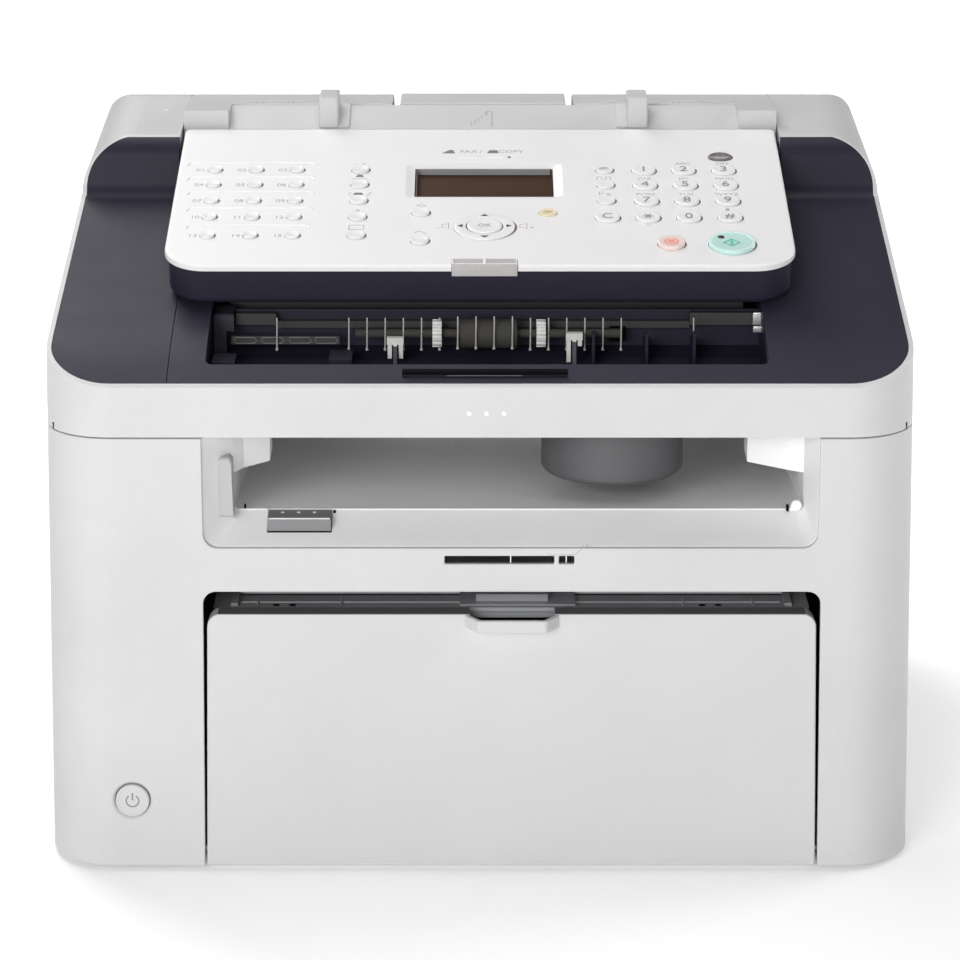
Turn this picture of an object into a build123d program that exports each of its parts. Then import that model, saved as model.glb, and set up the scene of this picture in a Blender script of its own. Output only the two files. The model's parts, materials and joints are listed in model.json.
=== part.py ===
"""Desktop laser fax machine with a hinged reader unit, a keyed panel and a front paper tray.

Millimetres.  +Z is up, +X is to the right of somebody who faces the machine, and the front
faces -Y.  The origin is on the table, under the middle of the bounding box.
"""

import os
from math import atan, cos, degrees, radians, sin, tan

from build123d import *

os.makedirs("parts", exist_ok=True)

# ---------------------------------------------------------------- driving dimensions
BASE_HALF_WIDTH = 188.0
SIDE_DRAFT = 3.6 / 222.0
FRONT = -148.0
BACK = 156.0
FRONT_CORNER = 29.0
REAR_CORNER = 14.0
WALL = 2.6
GAP = 0.3
SHELL_BOTTOM = 2.0
SEAM = 195.6
FRONT_RIM = 217.9
DECK_START = 223.5
DECK_SLOPE = 0.2222
DECK_ANGLE = degrees(atan(DECK_SLOPE))
FRONT_ROLL_SLOPE = 0.45
FRONT_ROLL_RADIUS = 190.0
RISER_ANGLE = 76.0
RISER_FOOT = 173.5
RISER_FOOT_RADIUS = 9.0
SHOULDER_EDGE = 181.5
SHOULDER_EDGE_RADIUS = 11.0
SHOULDER_FRONT_HEIGHT = 287.2
SHOULDER_ANGLE = 4.0
SHOULDER_SIDE_RADIUS = 23.0
REAR_ROUND = 45.0
HINGE_BARREL = 6.0
RIM = 2.2
COVER_THICKNESS = 2.4

PANEL_HALF_WIDTH = 137.2
PANEL_FRONT = 57.0
PANEL_REAR = 199.0
PANEL_HEIGHT = 20.58
PANEL_SKIN = 3.0
PANEL_BASE_DEPTH = 16.5
PANEL_CORNER = 18.5
CHANNEL_HALF_WIDTH = 138.8
FEEDER_FRONT = 203.6

WELL_LEFT = -116.0
WELL_RIGHT = 122.0
WELL_FRONT = 14.0
WELL_REAR = 190.0
WELL_CORNER = 3.0

TRAY_OPENING = (-119.5, 146.6, 127.5)
BAY_OPENING = (-117.3, 143.2, 147.0)
BAY_INNER = (-105.4, 138.4, 157.4)
BAY_MOUTH_DEPTH = 22.0
BAY_DEPTH = 185.0
BAY_FLOOR_DROP = 0.086


def depth(distance):
    """Y of a point that lies this far behind the front face."""
    return FRONT + distance


def half_width(height):
    """Half the body's width at a height: the sides lean in slightly."""
    return BASE_HALF_WIDTH - SIDE_DRAFT * height


def deck_height(distance):
    """Height of the sloping deck plane at a distance behind the front face."""
    return DECK_START + DECK_SLOPE * distance


def bay_floor(distance):
    """Height of the output tray's floor at a distance behind the front face."""
    return BAY_INNER[2] - BAY_FLOOR_DROP * (distance - BAY_MOUTH_DEPTH)


def body_envelope(inset, low, high):
    """The body's plan outline between two heights, drawn in by an inset."""
    with BuildPart() as envelope:
        for height in (low, high):
            with BuildSketch(Plane.XY.offset(height)):
                with Locations((0, (FRONT + BACK) / 2)):
                    Rectangle(2 * (half_width(height) - inset), BACK - FRONT - 2 * inset)
                corners = vertices().sort_by(Axis.Y)
                fillet(corners[:2], FRONT_CORNER - inset)
                fillet(corners[-2:], REAR_CORNER - inset)
        loft(ruled=True)
    return envelope.part


def leaning_plate(left, right, low, high, lean, corner):
    """A plate's outline that narrows a little towards its top, with rounded upper corners."""
    with BuildSketch() as outline:
        with BuildLine():
            Polyline((left, low), (right, low), (right - lean, high), (left + lean, high), close=True)
        make_face()
        fillet(vertices().group_by(Axis.Y)[-1], corner)
    return outline.sketch


def side_slab(points, low_x, high_x):
    """A prism along X from points given as (distance behind the front, height)."""
    with BuildPart() as slab:
        with BuildSketch(Plane.YZ.offset(low_x)):
            with BuildLine():
                Polyline([(depth(distance), height) for distance, height in points], close=True)
            make_face()
        extrude(amount=high_x - low_x)
    return slab.part


def upper_profile(inset):
    """The reader unit's side outline, from the front rim over the deck to the back."""
    roll = (DECK_START - FRONT_RIM) / (FRONT_ROLL_SLOPE - DECK_SLOPE)
    total = BACK - FRONT
    shoulder_rise = (total - SHOULDER_EDGE) * tan(radians(SHOULDER_ANGLE))
    corners = [
        (0, SEAM + GAP),
        (0, FRONT_RIM),
        (roll, deck_height(roll)),
        (RISER_FOOT, deck_height(RISER_FOOT)),
        (SHOULDER_EDGE, SHOULDER_FRONT_HEIGHT),
        (total, SHOULDER_FRONT_HEIGHT + shoulder_rise),
        (total, SEAM + GAP),
    ]
    radii = {
        1: 1.5,
        2: FRONT_ROLL_RADIUS,
        3: RISER_FOOT_RADIUS,
        4: SHOULDER_EDGE_RADIUS,
        5: REAR_ROUND,
        6: HINGE_BARREL,
    }
    with BuildPart() as solid:
        with BuildSketch(Plane.YZ.offset(-BASE_HALF_WIDTH - 5)):
            with BuildLine():
                Polyline([(depth(s), z) for s, z in corners], close=True)
            make_face()
            for index, radius in radii.items():
                distance, height = corners[index]
                corner = vertices().sort_by_distance((depth(distance), height))[0]
                fillet(corner, radius)
            if inset:
                offset(amount=-inset, kind=Kind.INTERSECTION, mode=Mode.REPLACE)
        extrude(amount=2 * BASE_HALF_WIDTH + 10)
    return solid.part


def shoulder_limit(inset, drop):
    """A long arch, rounded at its upper sides, drawn in at its sides and dropped at its top."""
    start = depth(0)
    rise_at_start = SHOULDER_FRONT_HEIGHT - SHOULDER_EDGE * tan(radians(SHOULDER_ANGLE))
    top = rise_at_start - drop / cos(radians(SHOULDER_ANGLE))
    width = 2 * (half_width(SHOULDER_FRONT_HEIGHT) - inset)
    low = 150.0
    with BuildPart() as arch:
        with BuildSketch(Plane.XZ.offset(-start)):
            with Locations((0, (low + top) / 2)):
                Rectangle(width + 12, top - low)
            with Locations((0, top - 30)):
                Rectangle(width, 60, mode=Mode.INTERSECT)
            fillet(vertices().group_by(Axis.Y)[-1], SHOULDER_SIDE_RADIUS - inset)
        extrude(amount=330, dir=(0, cos(radians(SHOULDER_ANGLE)), sin(radians(SHOULDER_ANGLE))))
        with BuildSketch(Plane.XY.offset(low)):
            with Locations((0, (FRONT + BACK) / 2)):
                Rectangle(width + 12, BACK - FRONT + 20)
        extrude(amount=SHOULDER_FRONT_HEIGHT - SHOULDER_SIDE_RADIUS - 2 - low)
    return arch.part


def panel_plane(height=0.0):
    """The control panel's tilted working plane, raised along its normal."""
    tilt = radians(DECK_ANGLE)
    plane = Plane(
        origin=(0, depth(PANEL_FRONT), deck_height(PANEL_FRONT) + PANEL_HEIGHT),
        x_dir=(1, 0, 0),
        z_dir=(0, -sin(tilt), cos(tilt)),
    )
    return plane.offset(height)


def along_panel(distance):
    """Distance up the panel's slope of a point this far behind the front face."""
    return (distance - PANEL_FRONT) / cos(radians(DECK_ANGLE))


def axis_plane(x, y, z):
    """A working plane across X, for pins and holes that run along X."""
    return Plane((x, y, z), x_dir=(0, 1, 0), z_dir=(1, 0, 0))


def save(name, part):
    """Label a finished piece and write it as its own file."""
    part.label = name
    export_step(part, f"parts/{name}.step")


# ---------------------------------------------------------------- lower housing
lower_outer = body_envelope(0, SHELL_BOTTOM, SEAM - GAP)
lower_inner = body_envelope(WALL, SHELL_BOTTOM - 1, SEAM + 1)
REAR_SPLIT = BACK - 17.0

DOOR_LEFT, DOOR_RIGHT, DOOR_TOP = TRAY_OPENING
BAY_LEFT, BAY_RIGHT, BAY_SILL = BAY_OPENING
BAY_CORNER = 6.4
DOOR_LEAN = 1.7
DOOR_CORNER = 5.5
SLOT_LEFT, SLOT_RIGHT, SLOT_LOW, SLOT_HIGH = -15.0, 40.0, 140.0, 143.5
SLOT_BRIDGE = 33.5
POWER_X, POWER_Z, POWER_RADIUS = -150.3, 32.5, 7.3
POWER_DISH, POWER_DISH_DEPTH = 8.8, 1.1

door_outline = leaning_plate(DOOR_LEFT, DOOR_RIGHT, -1, DOOR_TOP, DOOR_LEAN, DOOR_CORNER)

with BuildPart() as main_cover:
    add(lower_outer)
    add(lower_inner, mode=Mode.SUBTRACT)
    split(bisect_by=Plane.XZ.offset(-REAR_SPLIT), keep=Keep.TOP)
    with BuildSketch(Plane.XZ.offset(-FRONT - 8)):
        add(door_outline)
    extrude(amount=16, mode=Mode.SUBTRACT)
    with BuildSketch(Plane.XZ.offset(-FRONT - 8)):
        with Locations(((BAY_LEFT + BAY_RIGHT) / 2, BAY_SILL + 30)):
            Rectangle(BAY_RIGHT - BAY_LEFT, 60)
        fillet(vertices().group_by(Axis.Y)[0], BAY_CORNER)
    extrude(amount=16, mode=Mode.SUBTRACT)
    with BuildSketch(Plane.XZ.offset(-FRONT - 8)):
        with Locations(((SLOT_LEFT + SLOT_BRIDGE) / 2 - 1, (SLOT_LOW + SLOT_HIGH) / 2)):
            Rectangle(SLOT_BRIDGE - SLOT_LEFT - 2, SLOT_HIGH - SLOT_LOW)
        with Locations(((SLOT_RIGHT + SLOT_BRIDGE) / 2, (SLOT_LOW + SLOT_HIGH) / 2)):
            Rectangle(SLOT_RIGHT - SLOT_BRIDGE, SLOT_HIGH - SLOT_LOW)
    extrude(amount=16, mode=Mode.SUBTRACT)
    with BuildSketch(Plane.XZ.offset(-FRONT + 1)):
        with Locations((POWER_X, POWER_Z)):
            Circle(POWER_RADIUS + GAP)
    extrude(amount=-20, mode=Mode.SUBTRACT)
    # a conical dish round the power button
    for level, radius in ((0.01, POWER_DISH), (-POWER_DISH_DEPTH, POWER_RADIUS + GAP)):
        with BuildSketch(Plane.XZ.offset(-FRONT + level)):
            with Locations((POWER_X, POWER_Z)):
                Circle(radius)
    loft(mode=Mode.SUBTRACT)
save("main_cover", main_cover.part)

INLET_X, INLET_Z = 128.0, 30.0
JACK_X, JACK_Z = 70.0, 26.0
VENT_ROWS = 9
VENT_PITCH = 7.0
with BuildPart() as rear_cover:
    add(body_envelope(0, SHELL_BOTTOM, SEAM - 1.2))
    add(body_envelope(WALL, SHELL_BOTTOM - 1, SEAM + 1), mode=Mode.SUBTRACT)
    split(bisect_by=Plane.XZ.offset(-REAR_SPLIT - GAP), keep=Keep.BOTTOM)
    with BuildSketch(Plane.XZ.offset(-BACK - 5)):
        with Locations((-120, 120)):
            with GridLocations(0, VENT_PITCH, 1, VENT_ROWS):
                SlotOverall(56, 3)
        with Locations((-100, 40)):
            with GridLocations(0, VENT_PITCH, 1, VENT_ROWS - 4):
                SlotOverall(70, 3)
        with Locations((INLET_X, INLET_Z)):
            Rectangle(44, 30)
        with Locations((JACK_X, JACK_Z)):
            Rectangle(44, 22)
    extrude(amount=25, mode=Mode.SUBTRACT)
    with BuildSketch(Plane.XZ.offset(-BACK)):
        with Locations((10, 110)):
            RectangleRounded(170, 96, 6)
            RectangleRounded(166, 92, 4, mode=Mode.SUBTRACT)
    extrude(amount=1.0, mode=Mode.SUBTRACT)
save("rear_cover", rear_cover.part)

READER_AXIS = (BACK - HINGE_BARREL, SEAM + GAP + HINGE_BARREL)
KNUCKLE_X, KNUCKLE_WIDTH, HINGE_PIN = 106.0, 6.0, 3.0
DOOR_HINGE = (-142.0, 8.5)
DOOR_PIN = 1.5
TRAY_COVER_HINGE = (0.0, 113.1)
TRAY_COVER_PIN = 1.1
FIT = 0.05
PAN_INSET = WALL + GAP
PAN_TOP = 5.0
FRAME_LEFT, FRAME_RIGHT = -127.0, 154.0
with BuildPart() as base_frame:
    add(body_envelope(PAN_INSET, SHELL_BOTTOM, PAN_TOP))
    with BuildSketch(Plane.XY.offset(PAN_TOP)):
        with Locations((FRAME_LEFT, 2), (FRAME_RIGHT, 2)):
            Rectangle(1.6, 270)
    extrude(amount=183)
    with BuildSketch(Plane.XY.offset(PAN_TOP)):
        with Locations(((FRAME_LEFT + FRAME_RIGHT) / 2, 70)):
            Rectangle(FRAME_RIGHT - FRAME_LEFT, 1.6)
    extrude(amount=75)
    with BuildSketch(Plane.XY.offset(PAN_TOP)):
        with Locations(((DOOR_LEFT + DOOR_RIGHT) / 2, FRONT)):
            Rectangle(DOOR_RIGHT - DOOR_LEFT, 28)
    extrude(amount=SHELL_BOTTOM - PAN_TOP - 1, mode=Mode.SUBTRACT)
    with BuildSketch(Plane.XY.offset(SHELL_BOTTOM)):
        with Locations((0, 110)):
            with GridLocations(12, 0, 14, 1):
                SlotOverall(40, 4, rotation=90)
    extrude(amount=PAN_TOP - SHELL_BOTTOM, mode=Mode.SUBTRACT)
    # lugs and pins for the front door, and bearing holes for the tray cover
    for lug_x, pin_from in ((DOOR_LEFT - 1.9, DOOR_LEFT - 1), (DOOR_RIGHT + 1.9, DOOR_RIGHT - 3.4)):
        with BuildSketch(Plane.XY.offset(PAN_TOP)):
            with Locations((lug_x, DOOR_HINGE[0] + 1.5)):
                Rectangle(3, 9)
        extrude(amount=6.5)
        with BuildSketch(axis_plane(pin_from, *DOOR_HINGE)):
            Circle(DOOR_PIN)
        extrude(amount=4.4)
    with BuildSketch(axis_plane(FRAME_LEFT - 2, *TRAY_COVER_HINGE)):
        Circle(TRAY_COVER_PIN + FIT)
    extrude(amount=FRAME_RIGHT - FRAME_LEFT + 4, mode=Mode.SUBTRACT)
save("base_frame", base_frame.part)

FOOT_RADIUS = 9.0
FOOT_X, FOOT_FRONT, FOOT_REAR = 152.0, -118.0, 126.0
with BuildPart() as feet:
    with BuildSketch(Plane.XY):
        for foot_y in (FOOT_FRONT, FOOT_REAR):
            with Locations((-FOOT_X, foot_y), (FOOT_X, foot_y)):
                Circle(FOOT_RADIUS)
    extrude(amount=SHELL_BOTTOM)
    chamfer(edges().group_by(Axis.Z)[0], 0.6)
save("feet", feet.part)

# ---------------------------------------------------------------- output bay
INNER_LEFT, INNER_RIGHT, LIP_HEIGHT = BAY_INNER
TOP_OF_LINER = SEAM - GAP - 0.5
SHEET = 2.0


def bay_funnel(grow, near, far):
    """The mouth's funnel: wide at the front wall and narrower at the tray's lip."""
    with BuildPart() as funnel:
        for distance, share in ((near, 0.0), (far, 1.0)):
            left = BAY_LEFT + share * (INNER_LEFT - BAY_LEFT) - grow
            right = BAY_RIGHT + share * (INNER_RIGHT - BAY_RIGHT) + grow
            low = BAY_SILL + share * (LIP_HEIGHT - BAY_SILL) - grow
            high = TOP_OF_LINER + 10
            with BuildSketch(Plane.XZ.offset(-depth(distance))):
                with Locations(((left + right) / 2, (low + high) / 2)):
                    Rectangle(right - left, high - low)
                fillet(vertices().group_by(Axis.Y)[0], BAY_CORNER - 3 * share + grow)
        loft(ruled=True)
    return funnel.part


bay_back = BAY_DEPTH + SHEET
room_points = [
    (BAY_MOUTH_DEPTH - 0.01, LIP_HEIGHT),
    (BAY_DEPTH, bay_floor(BAY_DEPTH)),
    (BAY_DEPTH, TOP_OF_LINER + 10),
    (BAY_MOUTH_DEPTH - 0.01, TOP_OF_LINER + 10),
]
shell_points = [
    (BAY_MOUTH_DEPTH - 2.0, LIP_HEIGHT - SHEET),
    (bay_back, bay_floor(bay_back) - SHEET),
    (bay_back, TOP_OF_LINER),
    (BAY_MOUTH_DEPTH - 2.0, TOP_OF_LINER),
]
bay_room = side_slab(room_points, INNER_LEFT, INNER_RIGHT)
bay_shell = side_slab(shell_points, INNER_LEFT - SHEET, INNER_RIGHT + SHEET)
funnel_outer = bay_funnel(SHEET, WALL + 0.2, BAY_MOUTH_DEPTH)
funnel_inner = bay_funnel(0, WALL - 0.5, BAY_MOUTH_DEPTH)
deck_sheet = body_envelope(WALL + GAP, TOP_OF_LINER - SHEET, TOP_OF_LINER)
TAB_LEFT, TAB_RIGHT = -90.8, -63.2
TAB_FRONT, TAB_END, TAB_LOW, TAB_TOP = 10.0, 23.8, 151.6, 156.9
GUIDE_LOW, GUIDE_END = 174.0, 58.0
LEFT_GUIDE = ((-101.4, 29.5), (-90.8, 40.0))
RIGHT_GUIDE = ((132.0, 26.0), (115.4, 38.5))

with BuildPart() as output_tray:
    add(deck_sheet)
    add(funnel_outer)
    add(bay_shell)
    with Locations((0, 0, TOP_OF_LINER + 50)):
        Box(500, 500, 100, mode=Mode.SUBTRACT)
    add(funnel_inner, mode=Mode.SUBTRACT)
    add(bay_room, mode=Mode.SUBTRACT)
    # slanted guides that hang beside the mouth
    with BuildSketch(Plane.XY.offset(GUIDE_LOW)):
        for outer, wall_x in (LEFT_GUIDE, INNER_LEFT), (RIGHT_GUIDE, INNER_RIGHT):
            (near_x, near_s), (far_x, far_s) = outer
            with BuildLine():
                Polyline(
                    (wall_x, depth(BAY_MOUTH_DEPTH)),
                    (near_x, depth(near_s)),
                    (far_x, depth(far_s)),
                    (far_x, depth(GUIDE_END)),
                    (wall_x, depth(GUIDE_END)),
                    close=True,
                )
            make_face()
    extrude(amount=TOP_OF_LINER - GUIDE_LOW - 1)
    # pocket in the mouth for the extension's finger tab
    with Locations(((TAB_LEFT + TAB_RIGHT) / 2, depth((TAB_FRONT + TAB_END) / 2), TAB_LOW + 8)):
        Box(TAB_RIGHT - TAB_LEFT, TAB_END - TAB_FRONT + 2 * GAP, 20, mode=Mode.SUBTRACT)
    # slot in the rear wall where sheets come out
    with Locations(((INNER_LEFT + INNER_RIGHT) / 2, depth(BAY_DEPTH), 171)):
        Box(226, 12, 9, mode=Mode.SUBTRACT)
    # ribs that hold the sheets off the floor
    with BuildSketch(Plane.XZ.offset(-depth(BAY_DEPTH))):
        with Locations((16.7, bay_floor(BAY_DEPTH) + 0.7)):
            with GridLocations(60, 0, 4, 1):
                Rectangle(1.6, 2.4)
    extrude(amount=40)
    # knuckles that carry the reader unit's hinge pins
    for knuckle_x in (-KNUCKLE_X, KNUCKLE_X):
        with BuildSketch(axis_plane(knuckle_x - KNUCKLE_WIDTH / 2, 0, 0)):
            with Locations(READER_AXIS):
                Circle(HINGE_BARREL - 0.5)
            with Locations((READER_AXIS[0] - 1.0, (READER_AXIS[1] + TOP_OF_LINER) / 2 - 0.4)):
                Rectangle(7, READER_AXIS[1] - TOP_OF_LINER + 0.8)
            with Locations(READER_AXIS):
                Circle(HINGE_PIN + FIT, mode=Mode.SUBTRACT)
        extrude(amount=KNUCKLE_WIDTH)
save("output_tray", output_tray.part)

EXTENSION_END = 134.0
EXTENSION_THICKNESS = 2.4


def under_floor(distance, gap):
    """A point this far below the underside of the output tray's floor."""
    return (distance, bay_floor(distance) - SHEET - gap)


extension_points = [
    under_floor(TAB_END, GAP),
    under_floor(EXTENSION_END, GAP),
    under_floor(EXTENSION_END, GAP + EXTENSION_THICKNESS),
    under_floor(TAB_END - 6, GAP + EXTENSION_THICKNESS),
    (TAB_END - 6, TAB_LOW),
    (TAB_FRONT, TAB_LOW),
    (TAB_FRONT, TAB_TOP),
    (TAB_END, TAB_TOP),
]
with BuildPart() as tray_extension:
    add(side_slab(extension_points, TAB_LEFT + GAP, TAB_RIGHT - GAP))
save("tray_extension", tray_extension.part)

# ---------------------------------------------------------------- front door and paper path
COVER_LEFT, COVER_RIGHT, COVER_LOW, COVER_TOP = -118.6, 145.6, 2.8, 117.6
COVER_LEAN = 2.3
COVER_CORNER = 6.0
COVER_SKIN = 2.6
COVER_RIM_DEPTH = 9.0
HANDLE_LEFT, HANDLE_RIGHT, HANDLE_LOW, HANDLE_HIGH = -6.2, 33.6, 111.6, 117.2
HANDLE_REACH, HANDLE_SLANT, HANDLE_WALL = 8.5, 5.4, 1.7
HANDLE_ROUND, HANDLE_EASE = 2.6, 0.8
HANDLE_ROOT = FRONT - 0.8
cover_middle = (COVER_LEFT + COVER_RIGHT) / 2
cover_width = COVER_RIGHT - COVER_LEFT
cover_outline = leaning_plate(COVER_LEFT, COVER_RIGHT, COVER_LOW, COVER_TOP, COVER_LEAN, COVER_CORNER)
cover_hollow = leaning_plate(
    COVER_LEFT + COVER_SKIN,
    COVER_RIGHT - COVER_SKIN,
    COVER_LOW + COVER_SKIN,
    COVER_TOP - COVER_SKIN,
    COVER_LEAN,
    COVER_CORNER - COVER_SKIN,
)

# the handle: a lip with slanted ends that stands out of the door's top edge
with BuildPart() as handle_lip:
    with BuildSketch(Plane.XY.offset(HANDLE_LOW)):
        with BuildLine():
            Polyline(
                (HANDLE_LEFT, FRONT + COVER_SKIN),
                (HANDLE_LEFT, HANDLE_ROOT),
                (HANDLE_LEFT + HANDLE_SLANT, FRONT - HANDLE_REACH),
                (HANDLE_RIGHT - HANDLE_SLANT, FRONT - HANDLE_REACH),
                (HANDLE_RIGHT, HANDLE_ROOT),
                (HANDLE_RIGHT, FRONT + COVER_SKIN),
                close=True,
            )
        make_face()
        fillet(vertices().group_by(Axis.Y)[0], HANDLE_ROUND)
    extrude(amount=HANDLE_HIGH - HANDLE_LOW)
    lip_rims = edges().filter_by_position(Axis.Y, FRONT - HANDLE_REACH - 1, HANDLE_ROOT).group_by(Axis.Z)
    fillet(lip_rims[0] + lip_rims[-1], HANDLE_EASE)

with BuildPart() as front_cover:
    with BuildSketch(Plane.XZ.offset(-FRONT)):
        add(cover_outline)
    extrude(amount=-COVER_RIM_DEPTH)
    fillet(faces().sort_by(Axis.Y)[0].edges().sort_by(Axis.Z)[1:], 0.8)
    with BuildSketch(Plane.XZ.offset(-FRONT - COVER_RIM_DEPTH)):
        add(cover_hollow)
    extrude(amount=COVER_RIM_DEPTH - COVER_SKIN, mode=Mode.SUBTRACT)
    add(handle_lip.part)
    # finger pocket inside the lip, open above and through the door's top edge
    with BuildSketch(Plane.XY.offset(HANDLE_LOW + HANDLE_WALL)):
        with BuildLine():
            Polyline(
                (HANDLE_LEFT + HANDLE_WALL, FRONT + COVER_RIM_DEPTH + 1),
                (HANDLE_LEFT + HANDLE_WALL, HANDLE_ROOT + 0.6),
                (HANDLE_LEFT + HANDLE_SLANT + 0.9, FRONT - HANDLE_REACH + HANDLE_WALL),
                (HANDLE_RIGHT - HANDLE_SLANT - 0.9, FRONT - HANDLE_REACH + HANDLE_WALL),
                (HANDLE_RIGHT - HANDLE_WALL, HANDLE_ROOT + 0.6),
                (HANDLE_RIGHT - HANDLE_WALL, FRONT + COVER_RIM_DEPTH + 1),
                close=True,
            )
        make_face()
    extrude(amount=COVER_TOP - HANDLE_LOW, mode=Mode.SUBTRACT)
    # ribs behind the door's skin
    with BuildSketch(Plane.XZ.offset(-FRONT - COVER_SKIN)):
        with Locations((cover_middle, (COVER_LOW + COVER_TOP) / 2 - 3)):
            with GridLocations(58, 0, 4, 1):
                Rectangle(1.6, 96)
    extrude(amount=-4)
    with BuildSketch(axis_plane(COVER_LEFT - 1, *DOOR_HINGE)):
        Circle(DOOR_PIN + FIT)
    extrude(amount=cover_width + 2, mode=Mode.SUBTRACT)
save("front_cover", front_cover.part)

PAPER_LEFT, PAPER_RIGHT = -112.0, 139.0
PAPER_FRONT, PAPER_REAR, PAPER_FLOOR = -134.0, 66.0, 12.0
PAPER_WALL_TOP = 56.0
with BuildPart() as paper_tray:
    with BuildSketch(Plane.XY.offset(PAPER_FLOOR)):
        with Locations(((PAPER_LEFT + PAPER_RIGHT) / 2, (PAPER_FRONT + PAPER_REAR) / 2)):
            Rectangle(PAPER_RIGHT - PAPER_LEFT, PAPER_REAR - PAPER_FRONT)
    extrude(amount=2.4)
    with BuildSketch(Plane.XY.offset(PAPER_FLOOR + 2.4)):
        for wall_x in (PAPER_LEFT + 1.2, PAPER_RIGHT - 1.2):
            with Locations((wall_x, (PAPER_FRONT + PAPER_REAR) / 2)):
                Rectangle(2.4, PAPER_REAR - PAPER_FRONT)
    extrude(amount=PAPER_WALL_TOP - PAPER_FLOOR - 2.4)
    with BuildSketch(Plane.XY.offset(PAPER_FLOOR + 2.4)):
        with Locations(((PAPER_LEFT + PAPER_RIGHT) / 2, PAPER_REAR - 1.2)):
            Rectangle(PAPER_RIGHT - PAPER_LEFT, 2.4)
    extrude(amount=34)
    # side guides for the sheets, stood in from the walls
    with BuildSketch(Plane.XY.offset(PAPER_FLOOR + 2.4)):
        with Locations((-92.5, -60), (121.5, -60)):
            Rectangle(2.0, 60)
    extrude(amount=22)
save("paper_tray", paper_tray.part)

TRAY_COVER_TOP = 114.2
with BuildPart() as tray_cover:
    with BuildSketch(Plane.XY.offset(TRAY_COVER_TOP - 2.2)):
        with Locations(((PAPER_LEFT + PAPER_RIGHT) / 2, -67)):
            Rectangle(PAPER_RIGHT - PAPER_LEFT + 6, 138)
        fillet(vertices().group_by(Axis.Y)[0], 8)
    extrude(amount=2.2)
    # folded front lip, raised side rails and the middle grip
    with BuildSketch(Plane.XY.offset(TRAY_COVER_TOP)):
        with Locations(((PAPER_LEFT + PAPER_RIGHT) / 2, -133)):
            Rectangle(PAPER_RIGHT - PAPER_LEFT - 12, 2)
        with Locations((PAPER_LEFT + 6, -110), (PAPER_RIGHT - 6, -110)):
            Rectangle(3, 36)
    extrude(amount=1.6)
    with BuildSketch(Plane.XY.offset(TRAY_COVER_TOP)):
        with Locations((13.8, -122)):
            Rectangle(31, 5)
    extrude(amount=4.4)
    with BuildSketch(Plane.XY.offset(TRAY_COVER_TOP)):
        with Locations((16.2, -118)):
            Rectangle(50, 22)
    extrude(amount=1.4)
    with BuildSketch(axis_plane(FRAME_LEFT - 0.8, *TRAY_COVER_HINGE)):
        Circle(TRAY_COVER_PIN)
    extrude(amount=FRAME_RIGHT - FRAME_LEFT + 1.6)
save("tray_cover", tray_cover.part)


def roller(name, centre, shaft_span, shaft_radius, tyre_radius, tyres):
    """A shaft along X with a tyre of the given width at each of the given places."""
    middle = (shaft_span[0] + shaft_span[1]) / 2
    along_x = Plane((0, centre[0], centre[1]), x_dir=(0, 1, 0), z_dir=(1, 0, 0))
    with BuildPart() as wheel:
        with BuildSketch(along_x.offset(shaft_span[0])):
            Circle(shaft_radius)
        extrude(amount=shaft_span[1] - shaft_span[0])
        for place, width in tyres:
            with BuildSketch(along_x.offset(middle + place - width / 2)):
                Circle(tyre_radius)
            extrude(amount=width)
    save(name, wheel.part)


PAPER_MIDDLE = (PAPER_LEFT + PAPER_RIGHT) / 2
roller("pickup_roller", (30.0, 74.0), (FRAME_LEFT + 2, FRAME_RIGHT - 2), 3.0, 16.0, [(0, 34)])
EXIT_TYRES = [(place, 12) for place in (-78, -26, 26, 78)]
roller("exit_roller", (depth(BAY_DEPTH + 8), 171.0), (-100.0, 134.0), 2.5, 6.0, EXIT_TYRES)
roller("transfer_roller", (112.0, 84.0), (FRAME_LEFT + 2, FRAME_RIGHT - 2), 3.0, 7.0, [(0, 216)])

with BuildPart() as toner_cartridge:
    with BuildSketch(Plane.YZ.offset(-108)):
        with BuildLine():
            Polyline((62, 96), (88, 92), (100, 98), (100, 128), (76, 142), (44, 142), (44, 112), close=True)
        make_face()
        fillet(vertices(), 4)
    extrude(amount=243)
    with BuildSketch(Plane.YZ.offset(-104)):
        with Locations((114, 106)):
            Circle(12)
    extrude(amount=235)
    with BuildSketch(Plane.YZ.offset(-108)):
        with Locations((106, 106)):
            Rectangle(18, 6)
    extrude(amount=243)
save("toner_cartridge", toner_cartridge.part)

with BuildPart() as laser_scanner:
    with BuildSketch(Plane.XY.offset(118)):
        with Locations((PAPER_MIDDLE, 26)):
            RectangleRounded(200, 30, 6)
    extrude(amount=16)
    with BuildSketch(Plane.XY.offset(134)):
        with Locations((PAPER_MIDDLE - 30, 26)):
            Circle(11)
    extrude(amount=3)
save("laser_scanner", laser_scanner.part)

with BuildPart() as fuser_unit:
    with BuildSketch(Plane.YZ.offset(-112)):
        with Locations((118, 158)):
            RectangleRounded(40, 44, 8)
    extrude(amount=252)
    with BuildSketch(Plane.YZ.offset(-105)):
        with Locations((118, 164)):
            Circle(9)
    extrude(amount=238, mode=Mode.SUBTRACT)
save("fuser_unit", fuser_unit.part)

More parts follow.
